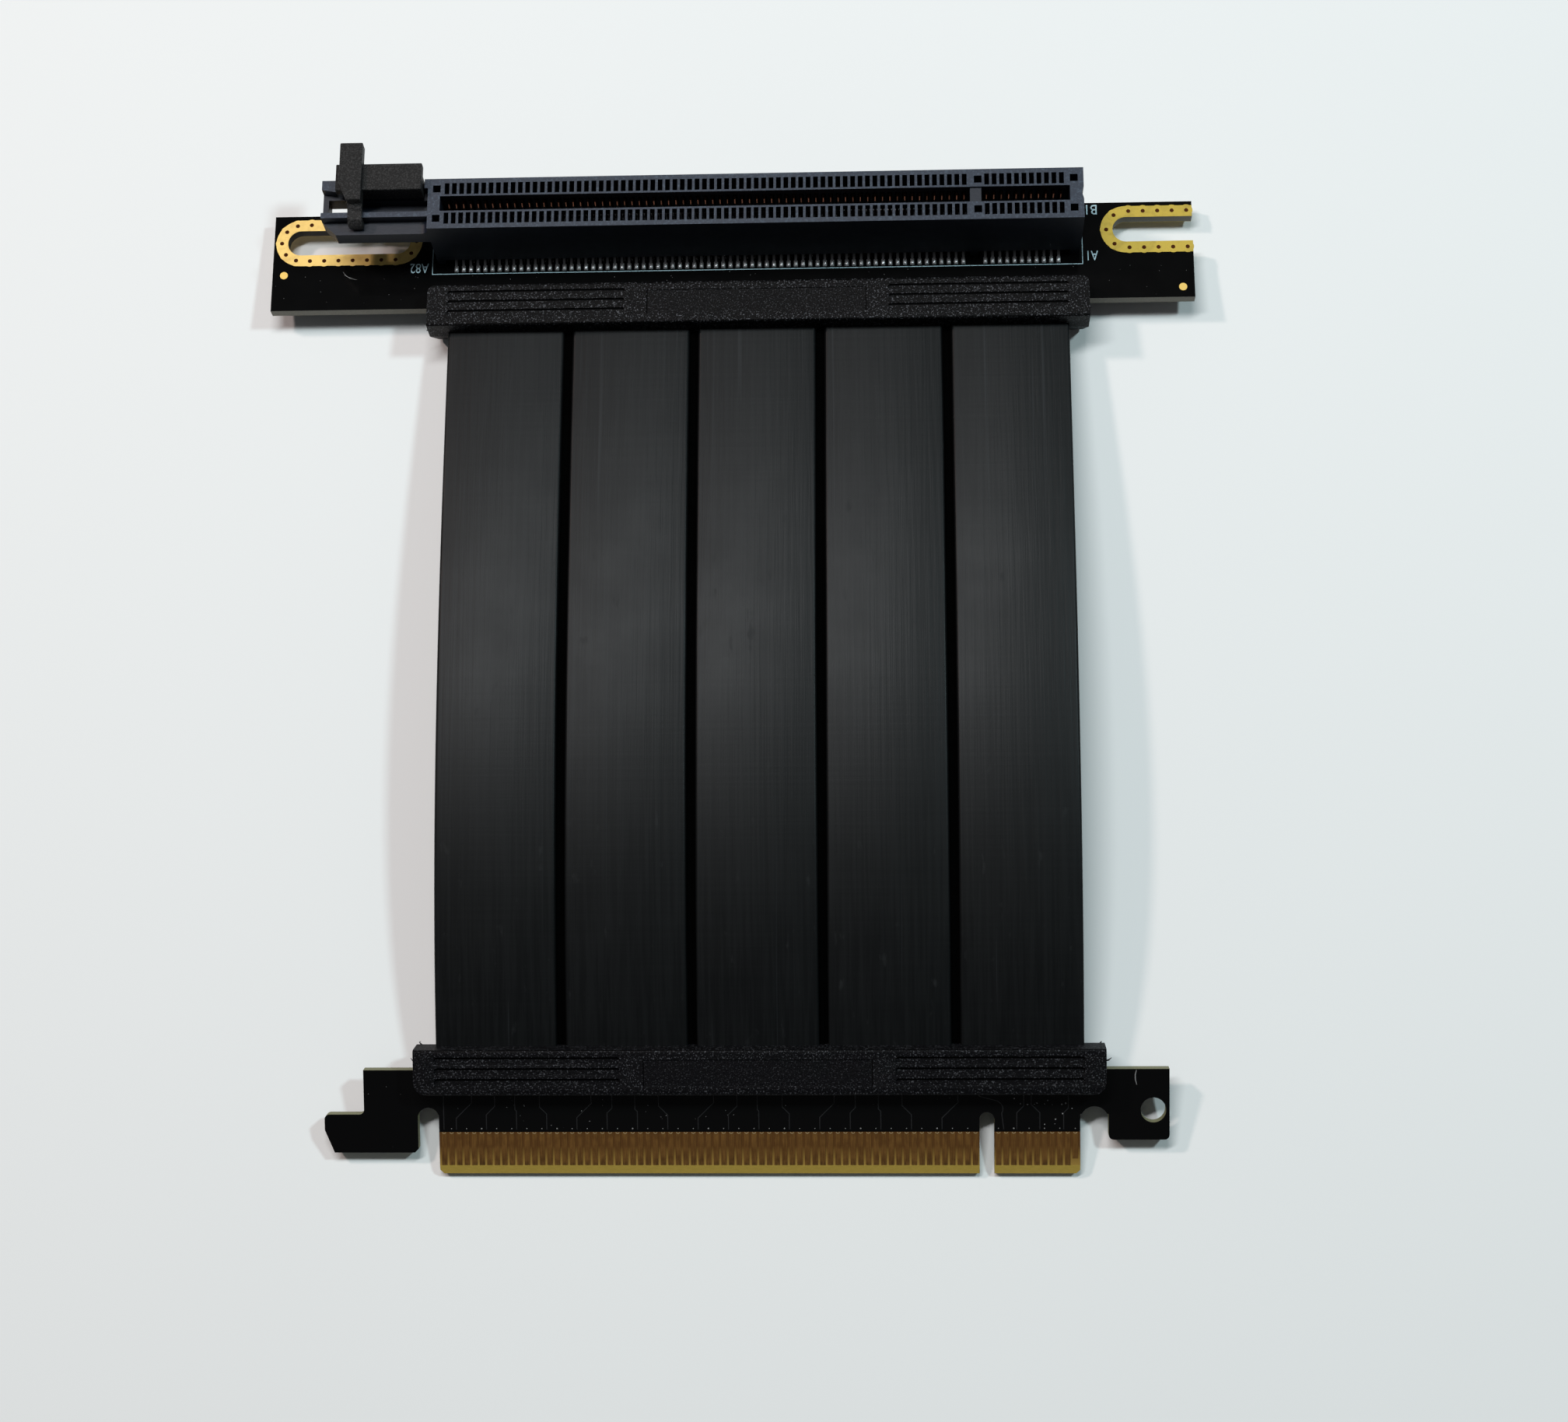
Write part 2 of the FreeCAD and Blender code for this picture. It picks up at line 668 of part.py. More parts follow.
def ribbon_arcs():
    """Two arcs that join the straight ends smoothly.
    Each is (start point, start tilt, radius, turn), in mm and degrees."""
    clear = mould_depth + web_setback
    start, end = slot_ribbon_point(clear), plug_ribbon_point(clear)
    t0, t1 = heading(-slot_tilt), heading(plug_tilt)
    chord = end - start
    bend = 2 * (1 - t0.dot(t1))
    along = chord.dot(t0 + t1)
    reach = (math.sqrt(along * along + bend * chord.dot(chord)) - along) / bend
    first, last = start + t0 * reach, end - t1 * reach
    top = (first + last) * 0.5
    run = last - first
    top_tilt = math.degrees(math.atan2(-run.z, -run.y))
    arcs = []
    for p, q, tilt_p, tilt_q in ((start, top, -slot_tilt, top_tilt), (top, end, top_tilt, plug_tilt)):
        turn = tilt_q - tilt_p
        arcs.append((p, tilt_p, (q - p).Length / (2 * math.sin(math.radians(turn) / 2)), turn))
    return arcs


def place_section(section, point, tilt):
    placed = section.copy()
    placed.rotate(Vector(0, 0, 0), Vector(1, 0, 0), tilt)
    return placed.translated(point)


def swept_arcs(section):
    pieces = []
    for point, tilt, radius, turn in ribbon_arcs():
        a = math.radians(tilt)
        centre = point + Vector(0, radius * math.sin(a), -radius * math.cos(a))
        pieces.append(place_section(section, point, tilt).revolve(centre, Vector(1, 0, 0), turn))
    return pieces


def swept_ribbon(section, stub):
    """A section along the whole ribbon; stub is how far it runs past the
    sheath at each end."""
    clear = mould_depth + web_setback
    slot_run = clear - (slot_board_edge + core_stub - stub)
    plug_run = clear - (plug_board_edge + core_stub - stub)
    first = place_section(section, slot_ribbon_point(clear - slot_run), -slot_tilt)
    last = place_section(section, plug_ribbon_point(clear), plug_tilt)
    return [first.extrude(heading(-slot_tilt) * slot_run),
            last.extrude(heading(plug_tilt) * plug_run)] + swept_arcs(section)


def ribbon_sheath():
    pieces = []
    for x in lobe_middles:
        pieces += swept_ribbon(lobe_section(x).cut(core_section(x)), 0)
    for x in lobe_middles[:-1]:
        pieces += swept_arcs(web_section(x))
    return pieces[0].multiFuse(pieces[1:]).removeSplitter()


def conductor_core(x):
    pieces = swept_ribbon(core_section(x), core_stub)
    return pieces[0].multiFuse(pieces[1:]).removeSplitter()


# All pieces ----------------------------------------------------------------
slot_end = {
    "slot_board": slot_board(),
    "closed_slot_ring": closed_slot_rings(),
    "open_slot_ring": open_slot_rings(),
    "fiducial_dots": fiducials(),
    "slot_housing": slot_housing(),
    "contacts_side_a": spring_contacts(-1),
    "contacts_side_b": spring_contacts(1),
    "latch": latch(),
    "slot_overmould": on_slot_board(strain_relief(slot_board_edge, slot_mould_corner, slot_grip_shift)),
    "slot_solder_tails_top": on_slot_board(upper_tails(slot_board_edge)),
    "slot_solder_tails_bottom": on_slot_board(lower_tails(slot_board_edge)),
}
plug_end = {
    "plug_board": plug_board(),
    "fingers_side_a": gold_fingers(0, short_finger_low),
    "fingers_side_b": gold_fingers(-board_thick - copper_thick, finger_low),
    "plug_overmould": on_plug_board(strain_relief(plug_board_edge, plug_mould_corner, plug_grip_shift)),
    "plug_solder_tails_top": on_plug_board(upper_tails(plug_board_edge)),
    "plug_solder_tails_bottom": on_plug_board(lower_tails(plug_board_edge)),
}
nodes = {name: lay_slot_end(shape) for name, shape in slot_end.items()}
nodes.update({name: lay_plug_end(shape) for name, shape in plug_end.items()})
nodes["ribbon_sheath"] = ribbon_sheath()
for i, x in enumerate(lobe_middles):
    nodes["conductor_core_%d" % (i + 1)] = conductor_core(x)

# The origin goes to the middle of the bottom of the whole riser.
points = [v.Point for shape in nodes.values() for v in shape.Vertexes]
middle = Vector(*[(min(p[i] for p in points) + max(p[i] for p in points)) / 2.0 for i in (0, 1)],
                min(p.z for p in points))
for name, shape in nodes.items():
    shape.translated(-middle).exportStep("parts/" + name + ".step")
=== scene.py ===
import json
import math
import random

import bmesh
import bpy
from mathutils import Matrix, Vector


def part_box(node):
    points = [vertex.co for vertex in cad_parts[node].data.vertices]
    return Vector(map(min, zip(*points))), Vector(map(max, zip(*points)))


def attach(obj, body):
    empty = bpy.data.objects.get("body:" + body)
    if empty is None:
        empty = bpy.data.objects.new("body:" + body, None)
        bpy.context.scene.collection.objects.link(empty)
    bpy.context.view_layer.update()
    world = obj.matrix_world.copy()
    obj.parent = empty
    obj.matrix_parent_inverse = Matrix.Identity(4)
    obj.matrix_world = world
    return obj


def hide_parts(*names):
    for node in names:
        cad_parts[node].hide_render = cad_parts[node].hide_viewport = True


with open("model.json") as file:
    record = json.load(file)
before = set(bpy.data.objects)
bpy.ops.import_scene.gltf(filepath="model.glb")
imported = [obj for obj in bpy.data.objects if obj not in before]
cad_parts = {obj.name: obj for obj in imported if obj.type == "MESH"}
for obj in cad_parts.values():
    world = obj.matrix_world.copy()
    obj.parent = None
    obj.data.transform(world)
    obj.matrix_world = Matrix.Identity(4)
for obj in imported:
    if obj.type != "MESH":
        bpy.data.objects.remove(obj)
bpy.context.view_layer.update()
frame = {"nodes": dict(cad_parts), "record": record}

mm = 0.001

# ------------------------------------------------------------ laying of the two ends
# The riser lies on a surface with its two boards tilted.  Each board's own
# frame has Z out of its upper face and X along the contact rows from contact
# 1, as the maker's drawings have it; the mounts say how each board lies.
mounts = {m["name"]: m for m in frame["record"]["mounts"]}
spring_width = 0.34 * mm
housing_height = 11.25 * mm
board_thick = 1.57 * mm
first_contact_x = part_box("contacts_side_a")[1][0] - spring_width / 2


def board_frame(up, point):
    """Matrix of a frame with Z along up, X along the rows and its origin at point."""
    z = Vector(up).normalized()
    y = z.cross(Vector((1, 0, 0)))
    return Matrix.Translation(point) @ Matrix((Vector((1, 0, 0)), y, z)).transposed().to_4x4()


slot_up = Vector(mounts["card_slot"]["axis"])
slot_origin = Vector(mounts["card_slot"]["pos_m"]) - slot_up * housing_height
slot_origin.x = first_contact_x
slot_frame = board_frame(slot_up, slot_origin)

plug_up = Vector(mounts["plug_screw_hole"]["axis"])
plug_origin = Vector(mounts["plug_edge"]["pos_m"]) + plug_up * board_thick / 2
plug_origin.x = first_contact_x
plug_frame = board_frame(plug_up, plug_origin)


# ------------------------------------------------------------ slot board
# Glass fibre board with semi-gloss black solder mask, routed to shape, so its edges show the pale laminate,
# save the walls of the closed screw slot, which are painted dark brown as shade.  Fine dust and light scuffs
# lie on the mask.
class Value:
    """A value in a material; arithmetic on it adds Math nodes."""

    def __init__(self, finish, socket):
        self.finish = finish
        self.socket = socket

    def math(self, operation, *values):
        settings = {"operation": operation}
        return self.finish.node("Math", settings, dict(enumerate((self,) + values)))

    def __add__(self, other):
        return self.math("ADD", other)

    def __sub__(self, other):
        return self.math("SUBTRACT", other)

    def __rsub__(self, other):
        return (self * -1.0) + other

    def __mul__(self, other):
        return self.math("MULTIPLY", other)

    def __gt__(self, other):
        return self.math("GREATER_THAN", other)

    def __lt__(self, other):
        return self.math("LESS_THAN", other)

    def __abs__(self):
        return self.math("ABSOLUTE")

    __radd__ = __add__
    __rmul__ = __mul__


class Finish:
    """A material built from nodes round one Principled shader."""

    def __init__(self, name, **surface):
        self.material = bpy.data.materials.new(name)
        self.material.use_nodes = True
        self.tree = self.material.node_tree
        self.shader = self.tree.nodes["Principled BSDF"]
        self.set(**surface)

    def set(self, **surface):
        for name, value in surface.items():
            self.feed(self.shader.inputs[name.replace("_", " ")], value)

    def feed(self, socket, value):
        if isinstance(value, Value):
            self.tree.links.new(value.socket, socket)
        elif isinstance(value, tuple) and len(value) == 3 and socket.type == "RGBA":
            socket.default_value = value + (1.0,)
        else:
            socket.default_value = value

    def node(self, kind, settings, sockets, output=0):
        made = self.tree.nodes.new("ShaderNode" + kind)
        for name, value in settings.items():
            if name == "stops":
                self.set_stops(made.color_ramp, value)
            else:
                setattr(made, name, value)
        for name, value in sockets.items():
            self.feed(made.inputs[name], value)
        return Value(self, made.outputs[output])

    def set_stops(self, ramp, stops):
        while len(ramp.elements) < len(stops):
            ramp.elements.new(1.0)
        for element, (place, shade) in zip(ramp.elements, stops):
            element.position = place
            element.color = (shade, shade, shade, 1.0)

    def place(self, board=None):
        """Object coordinates in millimetres, in a board's frame if one is given."""
        where = self.node("TexCoord", {}, {}, "Object")
        if board:
            into = board.inverted()
            where = self.node("Mapping", {}, {"Vector": where, "Location": into.translation,
                                              "Rotation": into.to_euler()})
        return self.node("VectorMath", {"operation": "SCALE"}, {"Vector": where, "Scale": 1000.0})

    def split(self, vector):
        parts = self.tree.nodes.new("ShaderNodeSeparateXYZ")
        self.feed(parts.inputs[0], vector)
        return [Value(self, out) for out in parts.outputs]

    def stretched(self, vector, scale):
        return self.node("VectorMath", {"operation": "MULTIPLY"}, {0: vector, 1: scale})

    def noise(self, vector, scale, detail=2.0, roughness=0.5):
        return self.node("TexNoise", {}, {"Vector": vector, "Scale": scale, "Detail": detail,
                                          "Roughness": roughness})

    def ramp(self, value, *stops):
        return self.node("ValToRGB", {"stops": stops}, {0: value})

    def mix(self, mask, a, b):
        """Colour a where the mask is 0 and b where it is 1."""
        return self.node("Mix", {"data_type": "RGBA"}, {0: mask, 6: a, 7: b}, 2)

    def bump(self, height, distance, strength=1.0):
        return self.node("Bump", {}, {"Height": height, "Distance": distance * mm, "Strength": strength})

    def facing(self, up):
        """1 on faces square to a direction, 0 on faces along it."""
        normal = self.node("TexCoord", {}, {}, "Normal")
        return abs(self.node("VectorMath", {"operation": "DOT_PRODUCT"}, {0: normal, 1: tuple(up)}, "Value"))


def dress(node, finish):
    """Gives a CAD node its material."""
    mesh = frame["nodes"][node].data
    mesh.materials.clear()
    mesh.materials.append(finish.material)


def toned(colour, strength):
    """A darker or lighter tone of a colour."""
    return tuple(part * strength for part in colour)


mask_black = (0.0022, 0.0022, 0.0023)
speck_grey = (0.035, 0.035, 0.036)
slot_laminate = (0.21, 0.2, 0.165)
# Painted shade: dark brown for the walls of the closed screw slot, which lie in shadow.
slot_wall_shade_brown = (0.03, 0.027, 0.02)
screw_slot_middle, screw_slot_reach, screw_slot_right = -0.15, 2.3, -80.0


def masked_board(name, board, laminate):
    """Black mask on the faces, pale laminate on the routed edges."""
    finish = Finish(name, Specular_IOR_Level=0.2)
    place = finish.place(board)
    cloudy = finish.noise(place, 0.35, 3.0)
    speck = finish.ramp(finish.noise(place, 2.6, 2.0), (0.77, 0.0), (0.81, 1.0))
    weave = finish.noise(finish.stretched(place, (2.0, 0.6, 3.0)), 3.0, 2.0)
    edge = finish.facing(board.col[2].to_3d()) < 0.5
    face = finish.mix(speck, mask_black, speck_grey)
    pale = finish.mix(weave, toned(laminate, 0.55), toned(laminate, 1.35))
    finish.set(Roughness=0.07 + cloudy * 0.08 + edge * 0.5 + speck * 0.4,
               Normal=finish.bump(finish.noise(place, 1.6, 2.0), 0.02, 0.25))
    return finish, place, edge, face, pale


slot_mask, place, edge, face, pale = masked_board("slot board mask", slot_frame, slot_laminate)
x, y, z = slot_mask.split(place)
# Painted shade: the routed walls at the closed screw slot take the dark brown instead of the laminate.
shaded_screw_slot_wall = (abs(y - screw_slot_middle) < screw_slot_reach) * (x < screw_slot_right)
pale = slot_mask.mix(shaded_screw_slot_wall, pale, slot_wall_shade_brown)
slot_mask.set(Base_Color=slot_mask.mix(edge, face, pale))
dress("slot_board", slot_mask)


# ------------------------------------------------------------ plated rings and alignment dots
# Gold plated copper round the two screw slots, stitched with small plated holes whose pads make the outer
# edge wavy, and a round dot near each end.  Each hole is a shallow dimple painted dark brown as the shade
# inside it.
def gold(name, colour, shade, roughness=0.42):
    """Matte gold plating with a faint grain and small stains."""
    finish = Finish(name, Metallic=0.55)
    place = finish.place()
    grain = finish.noise(finish.stretched(place, (3.0, 9.0, 3.0)), 1.4, 3.0)
    stain = finish.ramp(finish.noise(place, 0.9, 3.0), (0.5, 0.0), (0.72, 1.0))
    finish.set(Base_Color=finish.mix(stain * 0.5 + grain * 0.25, colour, shade),
               Roughness=roughness + grain * 0.15, Normal=finish.bump(grain, 0.01, 0.5))
    return finish


ring_gold = gold("ring gold", (0.77, 0.56, 0.18), (0.56, 0.39, 0.12))
green_gold = gold("greenish ring gold", (0.48, 0.35, 0.05), (0.3, 0.22, 0.035))
# Painted shade: dark brown standing in for the inside of the plated holes.
hole_shade_brown = Finish("plated hole", Base_Color=(0.06, 0.016, 0.004), Roughness=0.9,
                    Specular_IOR_Level=0.1)
dress("fiducial_dots", gold("dot gold", (0.68, 0.47, 0.12), (0.55, 0.36, 0.09)))


def clear_selection():
    bpy.ops.object.select_all(action="DESELECT")


def pick_faces(piece, test):
    """Selects faces of a piece in edit mode by their middle and normal."""
    bpy.ops.mesh.select_all(action="DESELECT")
    shape = bmesh.from_edit_mesh(piece.data)
    shape.select_mode = {"FACE"}
    for face in shape.faces:
        face.select_set(bool(test(face.calc_center_median(), face.normal)))
    shape.select_flush_mode()
    bmesh.update_edit_mesh(piece.data)


def copies(first, places, name):
    """A piece copied to each place, each with its own mesh, and joined as one."""
    made = []
    for place in places:
        copy = bpy.data.objects.new(name, first.data.copy())
        copy.data.transform(place)
        bpy.context.collection.objects.link(copy)
        made.append(copy)
    bpy.data.objects.remove(first)
    clear_selection()
    for copy in made:
        copy.select_set(True)
    bpy.context.view_layer.objects.active = made[0]
    bpy.ops.object.join()
    return bpy.context.object


def finished(piece, name, body, slot, *finishes):
    """Names a piece, gives it its materials and lets it ride on a body."""
    piece.name = name
    if finishes:
        piece.data.materials.clear()
        for finish in finishes:
            piece.data.materials.append(finish.material)
    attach(piece, body)
    return piece


def thickened(piece, thick, offset=-1.0):
    """Gives a flat piece a thickness."""
    bpy.context.view_layer.objects.active = piece
    wall = piece.modifiers.new("thickness", "SOLIDIFY")
    wall.thickness = thick * mm
    wall.offset = offset
    bpy.ops.object.modifier_apply(modifier=wall.name)


board_right = 18.4
closed_left, closed_right = -104.95, -91.45
open_left = 9.33
ring_radius, ring_width, ring_thick = 3.5, 1.65, 0.05


def both_faces(place):
    """A place on the slot board's upper face and the same one underneath."""
    under = place @ Matrix.Translation((0, 0, -board_thick)) @ Matrix.Rotation(math.pi, 4, "X")
    return [slot_frame @ place, slot_frame @ under]


def screw_ring(name, node, left, right, cut, metal):
    """Flat ring of plated copper round a screw slot, between two end middles,
    cut off square where the board ends."""
    clear_selection()
    bpy.ops.mesh.primitive_circle_add(vertices=72, radius=ring_radius * mm, fill_type="NGON")
    ring = bpy.context.object
    for vertex in ring.data.vertices:
        vertex.co.x += (right if vertex.co.x > 0 else left) * mm
    bpy.ops.object.mode_set(mode="EDIT")
    bpy.ops.mesh.select_all(action="SELECT")
    bpy.ops.mesh.inset(thickness=ring_width * mm)
    bpy.ops.mesh.delete(type="FACE")
    bpy.ops.mesh.select_all(action="SELECT")
    bpy.ops.mesh.bisect(plane_co=(cut * mm, 0, 0), plane_no=(1, 0, 0), clear_outer=True,
                        threshold=1e-7)
    bpy.ops.object.mode_set(mode="OBJECT")
    thickened(ring, ring_thick, 1.0)
    both = copies(ring, both_faces(Matrix.Translation((0, screw_slot_middle * mm, 0))), name)
    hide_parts(node)
    finished(both, name, "riser", "gold_plate", metal)


screw_ring("closed_screw_ring", "closed_slot_ring", closed_left, closed_right, 0.0, ring_gold)
screw_ring("open_screw_ring", "open_slot_ring", open_left, board_right + 4.0, board_right, green_gold)

pad_radius, pad_thick = 0.86, 0.07
hole_radius, hole_slope, hole_sink = 0.32, 0.03, 0.012
pad_row_y = 2.745
pad_bend = 2.705


def plated_pads(name, stitches, metal):
    """Pads with a small hole in the middle, shown as a shallow dimple painted dark brown as shade, on both
    faces of the slot board.
    """
    clear_selection()
    bpy.ops.mesh.primitive_cylinder_add(vertices=20, radius=pad_radius * mm, depth=pad_thick * mm,
                                        location=(0, 0, pad_thick / 2 * mm))
    pad = bpy.context.object
    bpy.ops.object.transform_apply()
    pad.data.materials.append(metal.material)
    pad.data.materials.append(hole_shade_brown.material)
    bpy.ops.object.mode_set(mode="EDIT")
    pick_faces(pad, lambda middle, normal: normal.z > 0.9)
    bpy.ops.mesh.inset(thickness=(pad_radius - hole_radius) * mm)
    bpy.ops.mesh.inset(thickness=hole_slope * mm, depth=-hole_sink * mm)
    bpy.ops.object.mode_set(mode="OBJECT")
    for face in pad.data.polygons:
        inside = face.center.xy.length < hole_radius / 3 * mm and face.center.z > pad_thick / 3 * mm
        face.material_index = int(inside)
    places = []
    for x, y in stitches:
        places += both_faces(Matrix.Translation((x * mm, (y + screw_slot_middle) * mm, 0)))
    finished(copies(pad, places, name), name, "riser", "gold_plate")


def pad_rows(first, pitch, count):
    """Places of pads along the two straight sides of a ring."""
    return [(first + pitch * i, side * pad_row_y) for i in range(count) for side in (1, -1)]


def round_end(middle, degrees):
    """Places of pads round one end of a ring, at angles from its middle."""
    turns = [math.radians(degree) for degree in degrees]
    return [(middle + pad_bend * math.cos(turn), pad_bend * math.sin(turn)) for turn in turns]


closed_pads = pad_rows(closed_left + 1.35, 2.0, 7)
closed_pads += round_end(closed_left, (103, 140, 180, 220, 257)) + round_end(closed_right, (-42, 0, 42))
plated_pads("closed_ring_pads", closed_pads, ring_gold)
open_pads = pad_rows(board_right - 0.75, -1.98, 5) + round_end(open_left, (127, 180, 233))
plated_pads("open_ring_pads", open_pads, green_gold)


# ------------------------------------------------------------ printing on the slot board
# White ink: a thin outline round the connector's feet and the labels of the
# end contacts, A1, B1 and A82, which read from the outer edge.
ink = Finish("white ink", Roughness=0.55)
worn = ink.ramp(ink.noise(ink.place(), 3.5, 3.0), (0.3, 1.0), (0.45, 0.0))
ink.set(Base_Color=ink.mix(worn, (0.4, 0.58, 0.65), (0.14, 0.2, 0.23)))
outline_left, outline_right, outline_low, outline_high = -86.43, 3.34, -5.27, 3.6
ink_width, ink_thick, ink_lift = 0.1, 0.012, 0.015

clear_selection()
bpy.ops.mesh.primitive_plane_add(size=1.0)
outline = bpy.context.object
outline.scale = ((outline_right - outline_left) * mm, (outline_high - outline_low) * mm, 1)
outline.location = ((outline_left + outline_right) / 2 * mm,
                    (outline_low + outline_high) / 2 * mm, ink_lift * mm)
bpy.ops.object.transform_apply()
bpy.ops.object.mode_set(mode="EDIT")
bpy.ops.mesh.select_all(action="SELECT")
bpy.ops.mesh.inset(thickness=ink_width * mm)
bpy.ops.mesh.delete(type="FACE")
bpy.ops.object.mode_set(mode="OBJECT")
thickened(outline, ink_thick)
outline.data.transform(slot_frame)
finished(outline, "connector_outline", "riser", "solder_mask", ink)


def label(text, x0, x1, y0, y1):
    """A printed label that fills a box on the slot board, upside down."""
    clear_selection()
    bpy.ops.object.text_add()
    words = bpy.context.object
    words.data.body = text
    words.data.resolution_u = 3
    words.data.extrude = ink_thick / 2
    bpy.ops.object.convert(target="MESH")
    corners = [v.co for v in words.data.vertices]
    low = Vector([min(c[i] for c in corners) for i in range(3)])
    high = Vector([max(c[i] for c in corners) for i in range(3)])
    wide, tall = (x1 - x0) / (high.x - low.x), (y1 - y0) / (high.y - low.y)
    middle = Matrix.Translation(((x0 + x1) / 2 * mm, (y0 + y1) / 2 * mm, ink_lift * mm))
    words.data.transform(Matrix.Translation(-(low + high) / 2))
    words.data.transform(Matrix.Diagonal((wide * mm, tall * mm, mm, 1.0)))
    words.data.transform(Matrix.Rotation(math.pi, 4, "Z"))
    words.data.transform(slot_frame @ middle)
    return finished(words, "label_" + text, "riser", "solder_mask", ink)


label("A82", -89.5, -86.9, -5.0, -3.55)
label("B1", 3.97, 5.42, 2.19, 3.62)
label("A1", 3.98, 5.42, -4.74, -3.31)


# ------------------------------------------------------------ tented holes and scuffs
# Small plated holes under the mask stand in pairs beside the moulding, and a
# few dust grains and one pale scuff lie on the slot board.
def dome(radius, height):
    """A low round dome on Z = 0."""
    clear_selection()
    bpy.ops.mesh.primitive_uv_sphere_add(segments=8, ring_count=5, radius=radius * mm)
    bump = bpy.context.object
    bump.scale.z = height / radius
    bpy.ops.object.transform_apply()
    bpy.ops.object.mode_set(mode="EDIT")
    bpy.ops.mesh.select_all(action="SELECT")
    bpy.ops.mesh.bisect(plane_co=(0, 0, -0.01 * mm), plane_no=(0, 0, 1), clear_inner=True,
                        threshold=1e-7)
    bpy.ops.mesh.select_all(action="SELECT")
    bpy.ops.mesh.region_to_loop()
    bpy.ops.mesh.edge_face_add()
    bpy.ops.object.mode_set(mode="OBJECT")
    bpy.ops.object.shade_smooth()
    return bump


def spots(name, board, places, radius, height, body, slot, finish):
    """Small domes on a board's face at (x, y, size) places."""
    where = [board @ Matrix.Translation((x * mm, y * mm, 0)) @ Matrix.Scale(size, 4)
             for x, y, size in places]
    return finished(copies(dome(radius, height), where, name), name, body, slot, finish)


hole_pair_pitch, hole_pair_step, hole_row_y = 2.85, 0.62, -7.62
pairs = [(-86.0 + hole_pair_pitch * i + step, hole_row_y + 0.25 * (i % 2), 1.0)
         for i in range(32) for step in (0.0, hole_pair_step)]
hole_rim = Finish("rim of a tented hole", Roughness=0.3)
copper_cloud = hole_rim.noise(hole_rim.place(), 0.4, 3.0)
hole_rim.set(Base_Color=hole_rim.mix(copper_cloud, (0.0, 0.0, 0.0), (0.12, 0.12, 0.115)))
spots("tented_holes", slot_frame, pairs, 0.11, 0.05, "riser", "solder_mask", hole_rim)

grains = random.Random(5)


def scattered(count, xs, ys, sizes):
    """Random (x, y, size) places within three ranges."""
    return [(grains.uniform(*xs), grains.uniform(*ys), grains.uniform(*sizes)) for _ in range(count)]


dust_grey = Finish("dust", Roughness=0.9)
dust_cloud = dust_grey.noise(dust_grey.place(), 0.5)
dust_grey.set(Base_Color=dust_grey.mix(dust_cloud, (0.1, 0.1, 0.1), (0.3, 0.3, 0.3)))
dust = scattered(8, (6.5, 18.0), (-10.0, -5.2), (0.3, 0.6))
dust += scattered(14, (-108.3, -88.0), (-10.0, -5.0), (0.3, 0.8))
dust += scattered(30, (-85.0, 3.0), (-8.0, -5.5), (0.3, 0.8))
spots("dust_on_slot_board", slot_frame, dust, 0.07, 0.03, "riser", "solder_mask", dust_grey)


def strokes(name, board, runs, radius, body, slot, finish, flat=0.5):
    """Fine raised lines through (x, y) or (x, y, z, thickness) points in a
    board's frame, in millimetres."""
    lines = bpy.data.curves.new(name, "CURVE")
    lines.dimensions = "3D"
    lines.bevel_depth = radius * mm
    lines.bevel_resolution = 1
    lines.use_fill_caps = True
    for run in runs:
        line = lines.splines.new("POLY")
        line.points.add(len(run) - 1)
        for point, where in zip(line.points, run):
            x, y, z, thick = where if len(where) == 4 else where + (0.0, 1.0)
            point.co = (x * mm, y * mm, z * mm / flat, 1)
            point.radius = thick
    piece = bpy.data.objects.new(name, lines)
    bpy.context.collection.objects.link(piece)
    clear_selection()
    piece.select_set(True)
    bpy.context.view_layer.objects.active = piece
    bpy.ops.object.convert(target="MESH")
    piece = bpy.context.object
    piece.data.transform(board @ Matrix.Diagonal((1.0, 1.0, flat, 1.0)))
    return finished(piece, name, body, slot, finish)


def curl(x, y, radius, start, end, steps=6):
    """Points of a small arc between two angles in degrees."""
    turns = [math.radians(start + (end - start) * i / steps) for i in range(steps + 1)]
    return [(x + radius * math.cos(turn), y + radius * math.sin(turn)) for turn in turns]


scuff = [[(-98.9, -4.6, 0.0, 0.3), (-98.5, -5.15, 0.0, 0.8),
          (-97.9, -5.6, 0.0, 0.7), (-96.9, -5.85, 0.0, 0.25)],
         [(-98.7, -5.1, 0.0, 0.2), (-98.2, -5.4, 0.0, 0.5), (-97.6, -5.55, 0.0, 0.2)]]
strokes("scuff_on_slot_board", slot_frame, scuff, 0.05, "riser", "solder_mask", dust_grey, 0.2)


# ------------------------------------------------------------ connector housing
# Glass-filled satin plastic in a dark blue grey, with fine fibre speckle on the faces; side faces and
# surfaces sunk below the top are painted darker as shade.
housing_grey = (0.0065, 0.0125, 0.028)
fibre_grey = (0.05, 0.075, 0.11)
top_depth = 0.2
plastic = Finish("connector plastic", Specular_IOR_Level=0.42)
place = plastic.place(slot_frame)
fibre = plastic.noise(place, 3.6, 3.0, 0.65)
cloud = plastic.noise(place, 0.5, 3.0)
fleck = plastic.ramp(fibre, (0.5, 0.0), (0.66, 1.0))
# Painted shade: faces that do not look up are painted at 0.45 of the housing grey.
lit_upward = plastic.ramp(plastic.facing(slot_up), (0.6, 0.0), (0.9, 1.0))
shade = plastic.mix(fleck * 0.6 + cloud * 0.2, housing_grey, fibre_grey)
# Painted shade: surfaces sunk below the top, such as the key rib, are painted darker.
sunk_in_shade = plastic.split(place)[2] < housing_height / mm - top_depth
shade = plastic.mix(sunk_in_shade, shade, toned(housing_grey, 0.6))
plastic.set(Base_Color=plastic.mix(lit_upward, toned(housing_grey, 0.45), shade),
            Roughness=0.42 + cloud * 0.15, Normal=plastic.bump(fibre, 0.03, 0.6))
dress("slot_housing", plastic)
